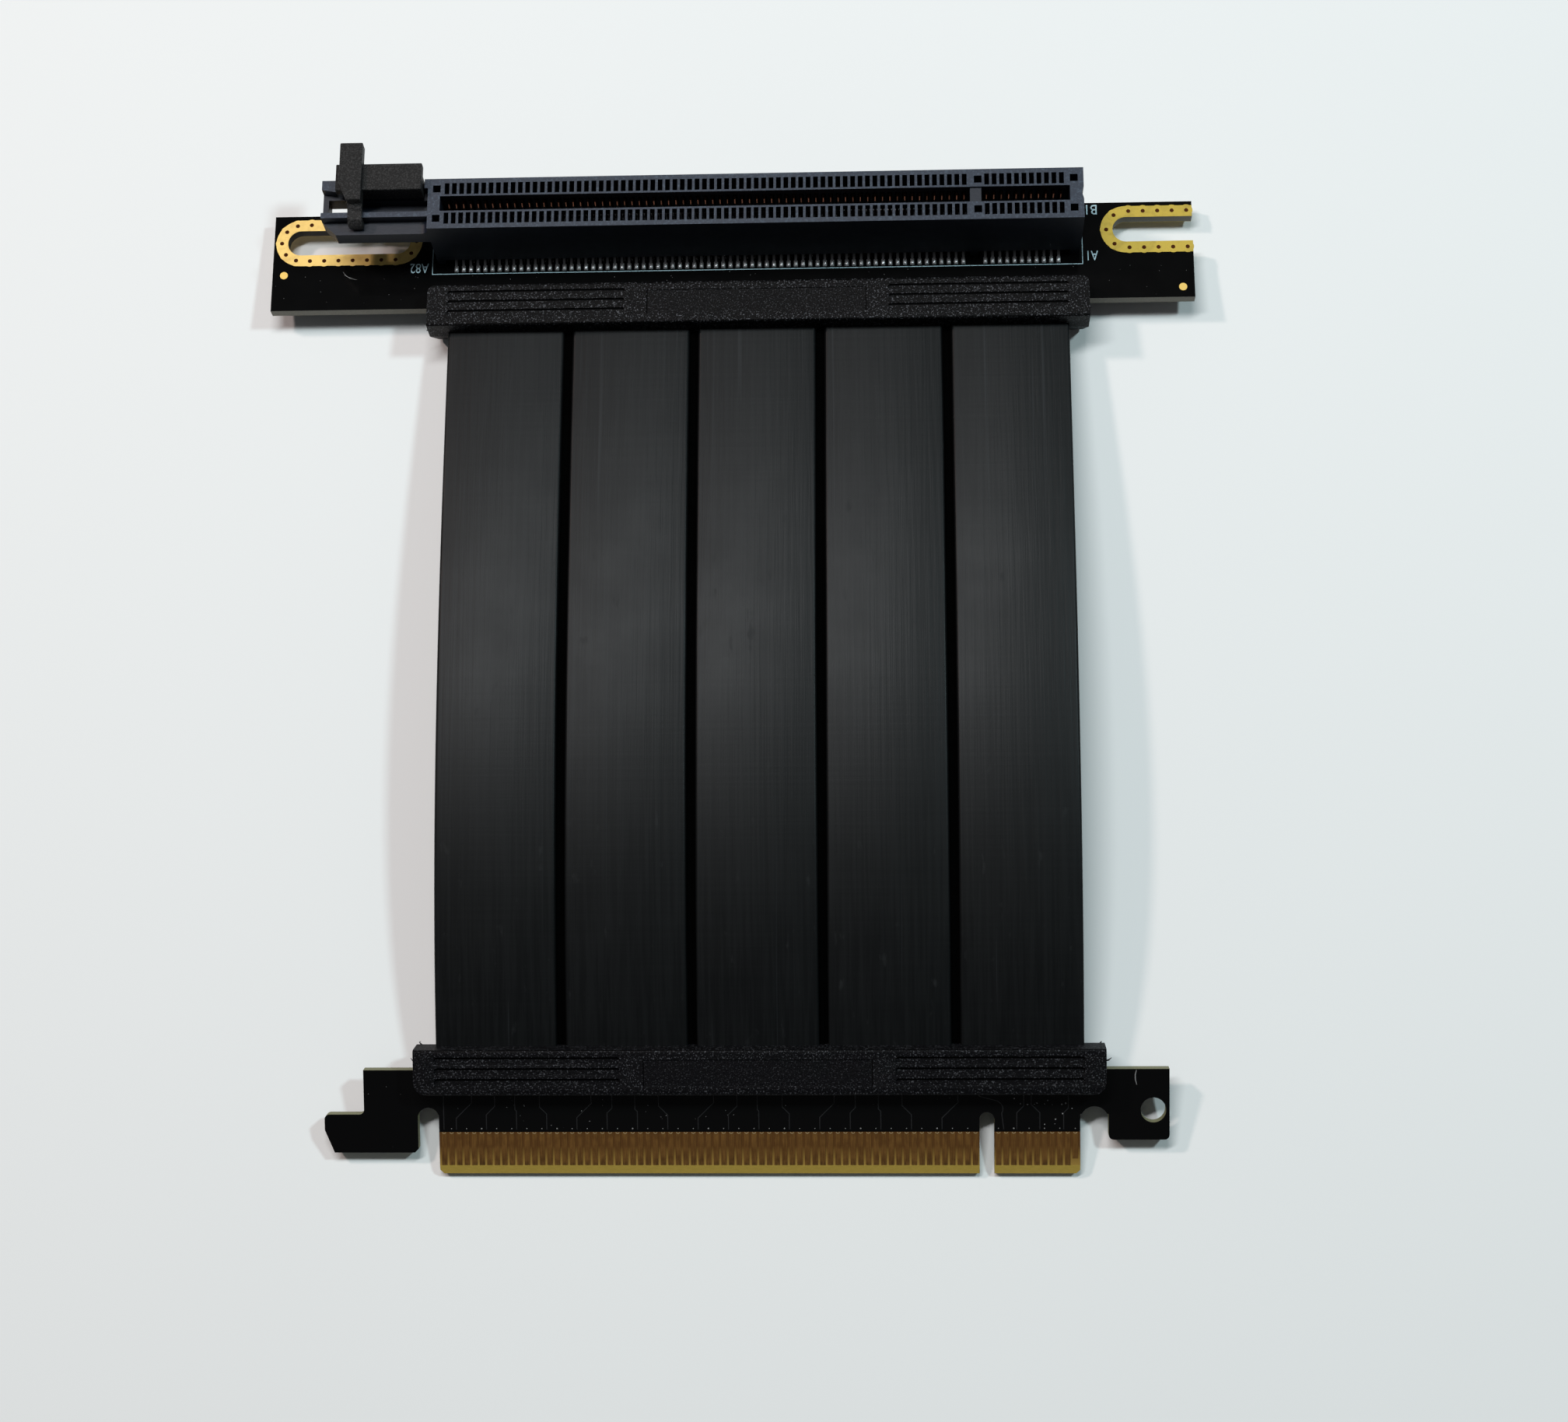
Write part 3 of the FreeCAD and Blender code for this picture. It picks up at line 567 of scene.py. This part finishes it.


# ------------------------------------------------------------ spring contacts and their solder
# Stamped copper alloy springs, 82 a side: tinned feet soldered to pads on the board, and gold crests in the
# card slot.  In the slot the springs are painted near black as shade, with thin painted glints on the
# crests; the leads are painted bright at the foot and darker, as shade, higher up under the housing.
contact_pitch = 1.0
short_count, long_count = 11, 71
key_step = 3.0
contact_x = [-i * contact_pitch for i in range(short_count)]
contact_x += [contact_x[-1] - key_step - i * contact_pitch for i in range(long_count)]
crest_reach, crest_low, crest_high = 0.06, 8.5, 9.2
lead_top = 2.2
spring_metal = Finish("spring metal", Metallic=0.5, Roughness=0.4)
place = spring_metal.place(slot_frame)
x, y, z = spring_metal.split(place)
streak = spring_metal.noise(spring_metal.stretched(place, (6.0, 1.0, 1.0)), 2.0)
half_pitch = contact_pitch / 2
across = abs((x + half_pitch).math("FLOORED_MODULO", contact_pitch) - half_pitch)
# Painted highlight: a thin glint band on each spring's crest.
crest_glint = (across < crest_reach) * (z > crest_low) * (z < crest_high)
shine = spring_metal.noise(spring_metal.stretched(place, (0.7, 0.0, 0.0)), 1.0, 0.0)
# Painted shade and highlight: near black springs in the slot's shade, bright orange where the crest glint is
# painted.
copper = spring_metal.mix(crest_glint * shine * 1.8, (0.008, 0.003, 0.0015), (1.0, 0.42, 0.26))
# Painted shade: the tinned leads are bright at the foot and darken upwards into the housing's shadow.
lead_light_fade = spring_metal.ramp(z * 0.6 + streak * 0.2, (0.1, 1.0), (0.85, 0.0))
tin_in_painted_shade = spring_metal.mix(lead_light_fade, (0.012, 0.012, 0.013), (0.22, 0.22, 0.23))
spring_metal.set(Base_Color=spring_metal.mix(z < lead_top, copper, tin_in_painted_shade))
dress("contacts_side_a", spring_metal)
dress("contacts_side_b", spring_metal)

solder = Finish("solder", Metallic=0.7, Roughness=0.3)
ripple = solder.noise(solder.place(), 3.0, 3.0)
solder.set(Base_Color=solder.mix(ripple, (0.85, 0.85, 0.87), (0.4, 0.4, 0.41)),
           Normal=solder.bump(ripple, 0.05, 0.7))


joint_width, joint_length, joint_base = 0.56, 0.95, 0.06
fillet_steps = ((0.06, 0.12), (0.1, 0.12), (0.06, 0.02))


def solder_joint():
    """A pad with a fillet of solder that rises towards the lead."""
    clear_selection()
    bpy.ops.mesh.primitive_cube_add(size=1.0)
    joint = bpy.context.object
    joint.scale = (joint_width * mm, joint_length * mm, joint_base * mm)
    joint.location = (0, 0, joint_base / 2 * mm)
    bpy.ops.object.transform_apply()
    bpy.ops.object.mode_set(mode="EDIT")
    pick_faces(joint, lambda middle, normal: normal.z > 0.9)
    for inwards, rise in fillet_steps:
        bpy.ops.mesh.inset(thickness=inwards * mm, depth=rise * mm)
    bpy.ops.object.mode_set(mode="OBJECT")
    bpy.ops.object.shade_smooth()
    return joint


for row, joint_y in (("a", -4.5), ("b", 3.35)):
    places = [slot_frame @ Matrix.Translation((x * mm, joint_y * mm, 0)) for x in contact_x]
    joints = copies(solder_joint(), places, "solder_side_" + row)
    finished(joints, "solder_side_" + row, "riser", "tinned_copper", solder)


# ------------------------------------------------------------ retention latch
# One moulding in black nylon with a fine matte grain, all its edges slightly
# rounded, that hooks over the housing and turns on two short pins.
weld = 0.002
flat_angle, sharp_angle = 1.0, 50.0


def eased(node, name, body, slot, finish, width):
    """A copy of a CAD node with joined faces and rounded edges, in its stead."""
    piece = bpy.data.objects.new(name, frame["nodes"][node].data.copy())
    bpy.context.collection.objects.link(piece)
    clear_selection()
    piece.select_set(True)
    bpy.context.view_layer.objects.active = piece
    bpy.ops.object.mode_set(mode="EDIT")
    bpy.ops.mesh.select_all(action="SELECT")
    bpy.ops.mesh.remove_doubles(threshold=weld * mm)
    bpy.ops.mesh.dissolve_limited(angle_limit=math.radians(flat_angle))
    bpy.ops.object.mode_set(mode="OBJECT")
    edges = piece.modifiers.new("rounded edges", "BEVEL")
    edges.width = width * mm
    edges.segments = 2
    edges.limit_method = "ANGLE"
    edges.angle_limit = math.radians(sharp_angle)
    bpy.ops.object.modifier_apply(modifier=edges.name)
    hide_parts(node)
    return finished(piece, name, body, slot, finish)


nylon = Finish("latch nylon", Specular_IOR_Level=0.1)
place = nylon.place()
grain = nylon.ramp(nylon.noise(place, 4.4, 2.0, 0.6), (0.45, 0.0), (0.62, 1.0))
rub = nylon.ramp(nylon.noise(place, 1.1, 3.0), (0.62, 0.0), (0.75, 1.0))
nylon.set(Base_Color=nylon.mix(grain, (0.013, 0.0128, 0.013), (0.036, 0.0355, 0.036)),
          Roughness=0.46 - rub * 0.08, Normal=nylon.bump(grain, 0.04, 0.8))
eased("latch", "latch_moulding", "latch", "latch_plastic", nylon, 0.18)


# ------------------------------------------------------------ moulded strain reliefs
# Soft black plastic moulded over each board edge and the ribbon's end, with a coarse grain and painted
# glints, painted shadow along the walls of its long recesses and round its panel, and wisps of flash left at
# the parting line.
ribbon_middle = -41.3
recess_pitch, recess_width, recess_floor = 1.43, 0.95, 2.7
panel_half_length, panel_half_width, panel_floor, panel_rim = 15.0, 1.75, 2.85, 0.14
floor_band = 0.05
# Painted shadow: near black for recess floors beside their walls.
wall_shadow_black = (0.0006, 0.0006, 0.0007)


def grained(name, board, recess_y, far, near, shine, dark, pale):
    """Grained plastic with painted glints, and painted shadow on the floor along the far and near walls of
    each long recess and round the panel's rim.
    """
    finish = Finish(name, Specular_IOR_Level=shine)
    place = finish.place(board)
    x, y, z = finish.split(place)
    coarse = finish.noise(place, 2.6, 4.0, 0.75)
    # Painted highlight: sparse bright glints in the grain, fewer on the panel's floor.
    painted_glint = finish.ramp(finish.noise(place, 4.6, 2.0, 0.6), (0.58, 0.0), (0.66, 1.0))
    across = (y - recess_y).math("FLOORED_MODULO", recess_pitch)
    # Painted shadow: a near black band on the recess floors beside their walls and round the panel's rim.
    wall = ((across > recess_width - far) + (across < near)) * (abs(z - recess_floor) < floor_band)
    panel = abs(z - panel_floor) < floor_band
    at_side = abs(x - ribbon_middle) > panel_half_length - panel_rim
    at_far_wall = y > recess_y + recess_width / 2 + panel_half_width - panel_rim
    wall = wall + panel * (at_side + at_far_wall)
    skin = finish.mix(painted_glint * (1.0 - panel * 0.55),
                      (dark, dark, dark * 1.3), (pale, pale * 1.04, pale * 1.16))
    finish.set(Base_Color=finish.mix(wall, skin, wall_shadow_black),
               Roughness=0.5 + wall * 0.4, Normal=finish.bump(coarse, 0.12, 1.0))
    return finish


slot_rubber = grained("slot moulding grain", slot_frame, recess_y=-11.525, far=0.2, near=0.1,
                      shine=0.1, dark=0.001, pale=0.09)
plug_rubber = grained("plug moulding grain", plug_frame, recess_y=13.975, far=0.32, near=0.0,
                      shine=0.08, dark=0.0026, pale=0.062)
mould_edge = 0.2
eased("slot_overmould", "slot_strain_relief", "riser", "moulded_rubber", slot_rubber, mould_edge)
eased("plug_overmould", "plug_strain_relief", "riser", "moulded_rubber", plug_rubber, mould_edge)

mould_left, mould_right = -86.5, 3.9
part_z = -board_thick / 2 / mm
wisps = [[(mould_left + 0.1, 14.6, part_z, 1.6), (mould_left - 0.45, 14.9, part_z, 1.0),
          (mould_left - 0.8, 15.5, part_z + 0.2, 0.3)],
         [(mould_left + 0.7, 17.2, part_z, 1.4), (mould_left + 0.4, 17.6, part_z + 0.1, 0.7),
          (mould_left + 0.6, 17.75, part_z + 0.2, 0.3)],
         [(mould_right - 0.1, 14.9, part_z, 1.6), (mould_right + 0.5, 15.0, part_z, 1.0),
          (mould_right + 0.9, 15.35, part_z + 0.1, 0.3)],
         [(mould_right - 0.6, 17.2, part_z, 1.2), (mould_right - 0.4, 17.55, part_z + 0.1, 0.4)]]
strokes("flash_on_plug_moulding", plug_frame, wisps, 0.1, "riser", "moulded_rubber", plug_rubber, 1.0)
nubs = [[(mould_left - 0.1, -13.2, part_z, 1.5), (mould_left - 0.5, -13.3, part_z, 0.6)],
        [(mould_right, -11.3, part_z, 1.6), (mould_right + 0.4, -11.5, part_z, 0.5)],
        [(mould_right, -12.2, part_z, 1.2), (mould_right + 0.3, -12.2, part_z, 0.5)]]
strokes("flash_on_slot_moulding", slot_frame, nubs, 0.1, "riser", "moulded_rubber", slot_rubber, 1.0)


# ------------------------------------------------------------ ribbon
# Five flat shielded lobes in one extruded satin black jacket, joined by thin webs.  Fine lines run along it,
# with a few rubs and faint draw marks.
jacket = Finish("ribbon jacket", Specular_IOR_Level=0.15, Specular_Tint=(0.95, 0.98, 1.0))
place = jacket.place()
along = jacket.noise(jacket.stretched(place, (1.2, 0.02, 0.2)), 1.6, 3.0, 0.6)
crosswise = jacket.noise(jacket.stretched(place, (0.02, 1.2, 0.2)), 1.4, 3.0, 0.6)
lines = jacket.ramp(along * 0.85 + crosswise * 0.15, (0.4, 0.0), (0.62, 1.0))
cloud = jacket.noise(place, 0.12, 3.0)
patches = jacket.noise(jacket.stretched(place, (1.0, 0.35, 1.0)), 0.8, 4.0)
rub = jacket.ramp(patches, (0.66, 0.0), (0.8, 1.0))
long_lines = jacket.noise(jacket.stretched(place, (1.3, 0.004, 0.1)), 1.0, 2.0)
draw_marks = jacket.ramp(long_lines, (0.66, 0.0), (0.72, 1.0))
shade = jacket.mix(rub * 0.4 + lines * 0.18, (0.0026, 0.003, 0.0033), (0.0152, 0.0168, 0.0176))
jacket.set(Base_Color=jacket.mix(draw_marks * 0.18, shade, (0.04, 0.045, 0.05)),
           Roughness=0.36 + cloud * 0.1 + rub * 0.1, Normal=jacket.bump(lines, 0.03, 0.35))

lobe_count = 5
lobe_width, lobe_gap, lobe_thick, lobe_rounding = 16.05, 1.19, 2.6, 0.4
web_thick, web_reach, web_overlap = 0.6, 0.4, 0.2
board_middle = -board_thick / 2
slot_exit = Vector((ribbon_middle * mm, -14.25 * mm, board_middle))
plug_exit = Vector((ribbon_middle * mm, 17.3 * mm, board_middle))
tuck = 2.0 * mm
slot_out = -slot_frame.col[1].to_3d()
plug_in = -plug_frame.col[1].to_3d()
ribbon_start = slot_frame @ slot_exit
ribbon_end = plug_frame @ plug_exit
ribbon_run = (ribbon_end - ribbon_start).length
handle = ribbon_run / 3


def along_ribbon(run, across, up):
    """The place of a point of the flat ribbon, run from the slot's moulding,
    once the ribbon lies in its low arch."""
    if run < 0:
        where, heading = ribbon_start + slot_out * run, slot_out
    elif run > ribbon_run:
        where, heading = ribbon_end + plug_in * (run - ribbon_run), plug_in
    else:
        t = run / ribbon_run
        knots = [ribbon_start, ribbon_start + slot_out * handle, ribbon_end - plug_in * handle, ribbon_end]
        where = (knots[0] * (1 - t) ** 3 + knots[1] * (3 * t * (1 - t) ** 2)
                 + knots[2] * (3 * t * t * (1 - t)) + knots[3] * t ** 3)
        heading = ((knots[1] - knots[0]) * (1 - t) ** 2 + (knots[2] - knots[1]) * (2 * t * (1 - t))
                   + (knots[3] - knots[2]) * t * t).normalized()
    top = heading.cross(Vector((-1, 0, 0)))
    return where + Vector((across, 0, 0)) + top * up


def pick_long_edges(strip):
    """Selects the edges that run along a strip, in edit mode."""
    bpy.ops.mesh.select_all(action="DESELECT")
    shape = bmesh.from_edit_mesh(strip.data)
    for edge in shape.edges:
        edge.select_set(abs(edge.verts[0].co.y - edge.verts[1].co.y) > mm)
    bmesh.update_edit_mesh(strip.data)


def ribbon_strip(name, middle, width, thick, rounding, start, end, finish):
    """A flat strip of the ribbon with rounded edges, laid along the arch."""
    clear_selection()
    bpy.ops.mesh.primitive_cube_add(size=1.0)
    strip = bpy.context.object
    strip.scale = (width * mm, end - start, thick * mm)
    strip.location = ((middle - ribbon_middle) * mm, (start + end) / 2, 0)
    bpy.ops.object.transform_apply()
    bpy.ops.object.mode_set(mode="EDIT")
    if rounding:
        pick_long_edges(strip)
        bpy.ops.mesh.bevel(offset=rounding * mm, segments=4)
    pick_long_edges(strip)
    bpy.ops.mesh.subdivide(number_cuts=63)
    bpy.ops.object.mode_set(mode="OBJECT")
    for vertex in strip.data.vertices:
        vertex.co = along_ribbon(vertex.co.y, vertex.co.x, vertex.co.z)
    bpy.ops.object.mode_set(mode="EDIT")
    bpy.ops.mesh.select_all(action="SELECT")
    bpy.ops.mesh.normals_make_consistent(inside=False)
    bpy.ops.object.mode_set(mode="OBJECT")
    bpy.ops.object.shade_smooth_by_angle(angle=math.radians(40))
    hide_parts("ribbon_sheath")
    return finished(strip, name, "riser", "ribbon_jacket", finish)


# Painted shade: the webs lie deep in the narrow gaps between lobes and are painted near black with no sheen.
web_shade_finish = Finish("web between lobes", Specular_IOR_Level=0.0, Roughness=0.9)
web_cloud = web_shade_finish.noise(web_shade_finish.place(), 1.0)
web_shade_finish.set(Base_Color=web_shade_finish.mix(web_cloud, (0.0006, 0.0006, 0.0006), (0.0012, 0.0012, 0.0012)))
lobe_pitch = lobe_width + lobe_gap
for i in range(lobe_count):
    middle = ribbon_middle + (i - 2) * lobe_pitch
    ribbon_strip("ribbon_lobe_%d" % (i + 1), middle, lobe_width, lobe_thick, lobe_rounding,
                 -tuck, ribbon_run + tuck, jacket)
    if i < lobe_count - 1:
        ribbon_strip("ribbon_web_%d" % (i + 1), middle + lobe_pitch / 2,
                     lobe_gap + 2 * web_overlap, web_thick, 0.0,
                     -web_reach * mm, ribbon_run + web_reach * mm, web_shade_finish)


# ------------------------------------------------------------ wire bundles and soldered tails
# Inside the jacket each lobe holds a foil-wrapped bundle, and its tinned
# ends are soldered to both faces of each board inside the mouldings.
foil = Finish("foil wrap", Metallic=0.9)
crease = foil.noise(foil.stretched(foil.place(), (1.0, 0.2, 1.0)), 1.5, 4.0)
foil.set(Base_Color=foil.mix(crease, (0.6, 0.6, 0.62), (0.4, 0.4, 0.43)),
         Roughness=0.3 + crease * 0.2, Normal=foil.bump(crease, 0.1, 0.6))
for i in range(1, 6):
    dress("conductor_core_%d" % i, foil)
for node in ("slot_solder_tails_top", "slot_solder_tails_bottom",
             "plug_solder_tails_top", "plug_solder_tails_bottom"):
    dress(node, solder)


# ------------------------------------------------------------ plug board
# The same glass fibre board; the black mask stops short of the contacts, and
# the bare amber laminate shows between them and on the bevelled tip.
mask_line, bevel_line = 5.67, 1.22
tongue_left, tongue_right = -83.8, 0.8
plug_laminate = (0.2, 0.2, 0.115)
plug_mask, place, edge, face, pale = masked_board("plug board mask", plug_frame, plug_laminate)
x, y, z = plug_mask.split(place)
bare = (y < mask_line) * (x > tongue_left) * (x < tongue_right)
tip = y < bevel_line
low = plug_mask.ramp(y * 0.25, (0.3, 0.85), (0.95, 0.0))
amber = plug_mask.mix(low, (0.085, 0.038, 0.011), (0.31, 0.2, 0.047))
straw = plug_mask.mix(plug_mask.noise(plug_mask.stretched(place, (1.0, 3.0, 1.0)), 1.5, 3.0),
                      (0.47, 0.33, 0.068), (0.34, 0.24, 0.048))
face = plug_mask.mix(bare, face, plug_mask.mix(tip, amber, straw))
plug_mask.set(Base_Color=plug_mask.mix(edge, face, pale))
dress("plug_board", plug_mask)

raised_mask = Finish("mask over copper", Base_Color=(0.012, 0.012, 0.013), Roughness=0.3)
raised_mask.set(Normal=raised_mask.bump(raised_mask.noise(raised_mask.place(), 6.0), 0.01))
trace_low, trace_high, trace_bend = 6.0, 11.25, 8.55
trace_pitch = 4.0
jogs = [2.07, 1.14, -0.18, -0.91, 1.9, 0.66, -0.3, -1.19]


def trace(x, jog, bend):
    """A trace that steps sideways at 45 degrees on its way to the moulding."""
    return [(x, trace_low), (x, bend), (x + jog, bend + abs(jog)), (x + jog, trace_high)]


runs = [[(-83.0, trace_low), (-83.0, trace_high)]]
for i in range(17):
    jog = jogs[i % len(jogs)]
    runs.append(trace(-81.35 + trace_pitch * i, jog, trace_bend - abs(jog) / 2))
bent = curl(-10.6, 8.7, 1.2, -30, 80)
runs.append([(-9.3, trace_low)] + bent + [(-12.4, 10.4), (-13.2, trace_high)])
for x, jog in ((-7.6, 0.9), (-4.6, -1.1), (-1.5, 0.6)):
    runs.append(trace(x, jog, 8.2))
strokes("traces_under_mask", plug_frame, runs, 0.075, "riser", "solder_mask", raised_mask, 0.3)

pale_mask = Finish("mask rim", Roughness=0.4)
rim_cloud = pale_mask.noise(pale_mask.place(), 2.0)
pale_mask.set(Base_Color=pale_mask.mix(rim_cloud, (0.45, 0.34, 0.18), (0.22, 0.16, 0.08)))
rim_lift = 0.07
arcs = [[point + (rim_lift, 1.0) for point in curl(x, mask_line + 0.08, 0.27, 205, 335, 4)]
        for x in contact_x]
strokes("mask_rims_at_contacts", plug_frame, arcs, 0.045, "riser", "solder_mask", pale_mask, 0.4)
notch_middle = -11.5
row = [(x, mask_line + 0.45, 1.5 if i % 5 == 2 else 1.0)
       for i, x in enumerate(-82.0 + 2.0 * n for n in range(42)) if abs(x - notch_middle) > 1.2]
spots("holes_over_contacts", plug_frame, row, 0.075, 0.03, "riser", "solder_mask", dust_grey)


def on_mask(place):
    """Whether a place is on the board, clear of the gap beside its hook."""
    x, y, size = place
    in_gap = -95.5 < x < -83.0 and y < 9.5
    past_hook = x < -93.5 and y > 7.6
    return not in_gap and not past_hook


dust = scattered(16, (-9.5, 0.0), (6.6, 10.8), (0.5, 1.5))
dust += scattered(34, (-82.0, -13.5), (6.4, 11.0), (0.3, 0.8))
dust += scattered(10, (-98.0, -87.5), (4.5, 16.0), (0.3, 0.7))
dust = [place for place in dust if on_mask(place)]
spots("dust_on_plug_board", plug_frame, dust, 0.08, 0.03, "riser", "solder_mask", dust_grey)
scratch = [[(7.95, 13.85, 0, 0.6), (7.8, 13.2, 0, 1.0), (7.82, 12.6, 0, 1.0), (8.0, 11.9, 0, 0.4)]]
strokes("scratch_on_tab", plug_frame, scratch, 0.07, "riser", "solder_mask", dust_grey, 0.25)


# ------------------------------------------------------------ gold edge contacts
# Gold plated fingers, browned and rubbed lengthwise by use, darker towards the tip, 82 on each face.
finger = Finish("worn contact gold", Metallic=0.45)
place = finger.place(plug_frame)
y = finger.split(place)[1]
rubbed = finger.noise(finger.stretched(place, (7.0, 0.35, 1.0)), 1.6, 3.0)
patch = finger.noise(place, 0.7, 3.0)
# Darker towards the tip.
darker_towards_tip = finger.ramp(y * 0.3, (0.35, 1.0), (0.85, 0.0))
gold_shade = finger.mix(darker_towards_tip, (0.11, 0.046, 0.0085), (0.07, 0.032, 0.007))
bright = finger.ramp(rubbed * 0.6 + patch * 0.4, (0.4, 0.0), (0.62, 1.0))
finger.set(Base_Color=finger.mix(bright, gold_shade, (0.19, 0.09, 0.018)),
           Roughness=0.38 + patch * 0.15, Normal=finger.bump(rubbed, 0.01, 0.5))
dress("fingers_side_a", finger)
dress("fingers_side_b", finger)


# ------------------------------------------------------------ floor, light and camera
# A pale table top, which fades for the camera to the pale tone of the room, a
# strip light above the slot end, a small warm lamp at the left and a cool one
# at the right, and a camera that looks almost straight down.
clear_selection()
bpy.ops.mesh.primitive_plane_add(size=6.0, location=(0, 0, 0))
floor = bpy.context.object
floor.name = "floor"
paper = Finish("pale table", Roughness=0.75, Specular_IOR_Level=0.2)
paper_cloud = paper.noise(paper.place(), 0.02, 2.0)
paper.set(Base_Color=paper.mix(paper_cloud, (0.8, 0.82, 0.825), (0.79, 0.81, 0.815)))
haze = (0.79, 0.82, 0.825)
seen = paper.node("LightPath", {}, {}, "Is Camera Ray")
reach = paper.node("VectorMath", {"operation": "LENGTH"}, {0: paper.place()}, "Value")
far_off = seen * paper.ramp(reach * 0.001, (0.2, 0.0), (0.5, 1.0))
glow = paper.node("Emission", {}, {"Color": haze})
near_floor = Value(paper, paper.shader.outputs[0])
surface = paper.node("MixShader", {}, {0: far_off, 1: near_floor, 2: glow})
paper.feed(paper.tree.nodes["Material Output"].inputs["Surface"], surface)
floor.data.materials.append(paper.material)


def soft_light(name, place, size, power, colour):
    """A rectangular lamp that points at the middle of the riser."""
    lamp = bpy.data.lights.new(name, "AREA")
    lamp.shape = "RECTANGLE"
    lamp.size, lamp.size_y = size
    lamp.energy = power
    lamp.color = colour
    lit = bpy.data.objects.new(name, lamp)
    lit.location = place
    lit.rotation_euler = (-Vector(place)).to_track_quat("-Z", "Y").to_euler()
    bpy.context.collection.objects.link(lit)


soft_light("broad light", (-0.1, 0.24, 0.7), (0.42, 0.06), 3.15, (0.99, 1.0, 1.0))
soft_light("warm light", (-0.59, 0.37, 0.7), (0.08, 0.08), 2.9, (1.0, 0.8, 0.74))
soft_light("cool light", (0.48, 0.22, 0.7), (0.08, 0.08), 2.5, (0.76, 0.97, 1.0))
world = bpy.data.worlds.new("room")
world.use_nodes = True
room = world.node_tree
room_light = room.nodes["Background"]
room_light.inputs["Color"].default_value = (0.95, 0.98, 1.0, 1.0)
room_light.inputs["Strength"].default_value = 0.08
backdrop = room.nodes.new("ShaderNodeBackground")
backdrop.inputs["Color"].default_value = haze + (1.0,)
either = room.nodes.new("ShaderNodeMixShader")
room.links.new(room.nodes.new("ShaderNodeLightPath").outputs["Is Camera Ray"], either.inputs[0])
room.links.new(room_light.outputs[0], either.inputs[1])
room.links.new(backdrop.outputs[0], either.inputs[2])
room.links.new(either.outputs[0], room.nodes["World Output"].inputs["Surface"])
bpy.context.scene.world = world
bpy.context.scene.view_settings.view_transform = "Standard"

camera = bpy.data.objects.new("camera", bpy.data.cameras.new("camera"))
camera.data.sensor_width = 36.0
camera.data.lens = 69.56
camera.data.shift_x = 0.0415
camera.data.shift_y = -0.0363
camera.data.clip_start = 0.01
camera.location = (0.02136, -0.070856, 0.405536)
camera.rotation_mode = "ZYX"
camera.rotation_euler = [math.radians(a) for a in (10.013, 3.197, -0.541)]
bpy.context.collection.objects.link(camera)
bpy.context.scene.camera = camera
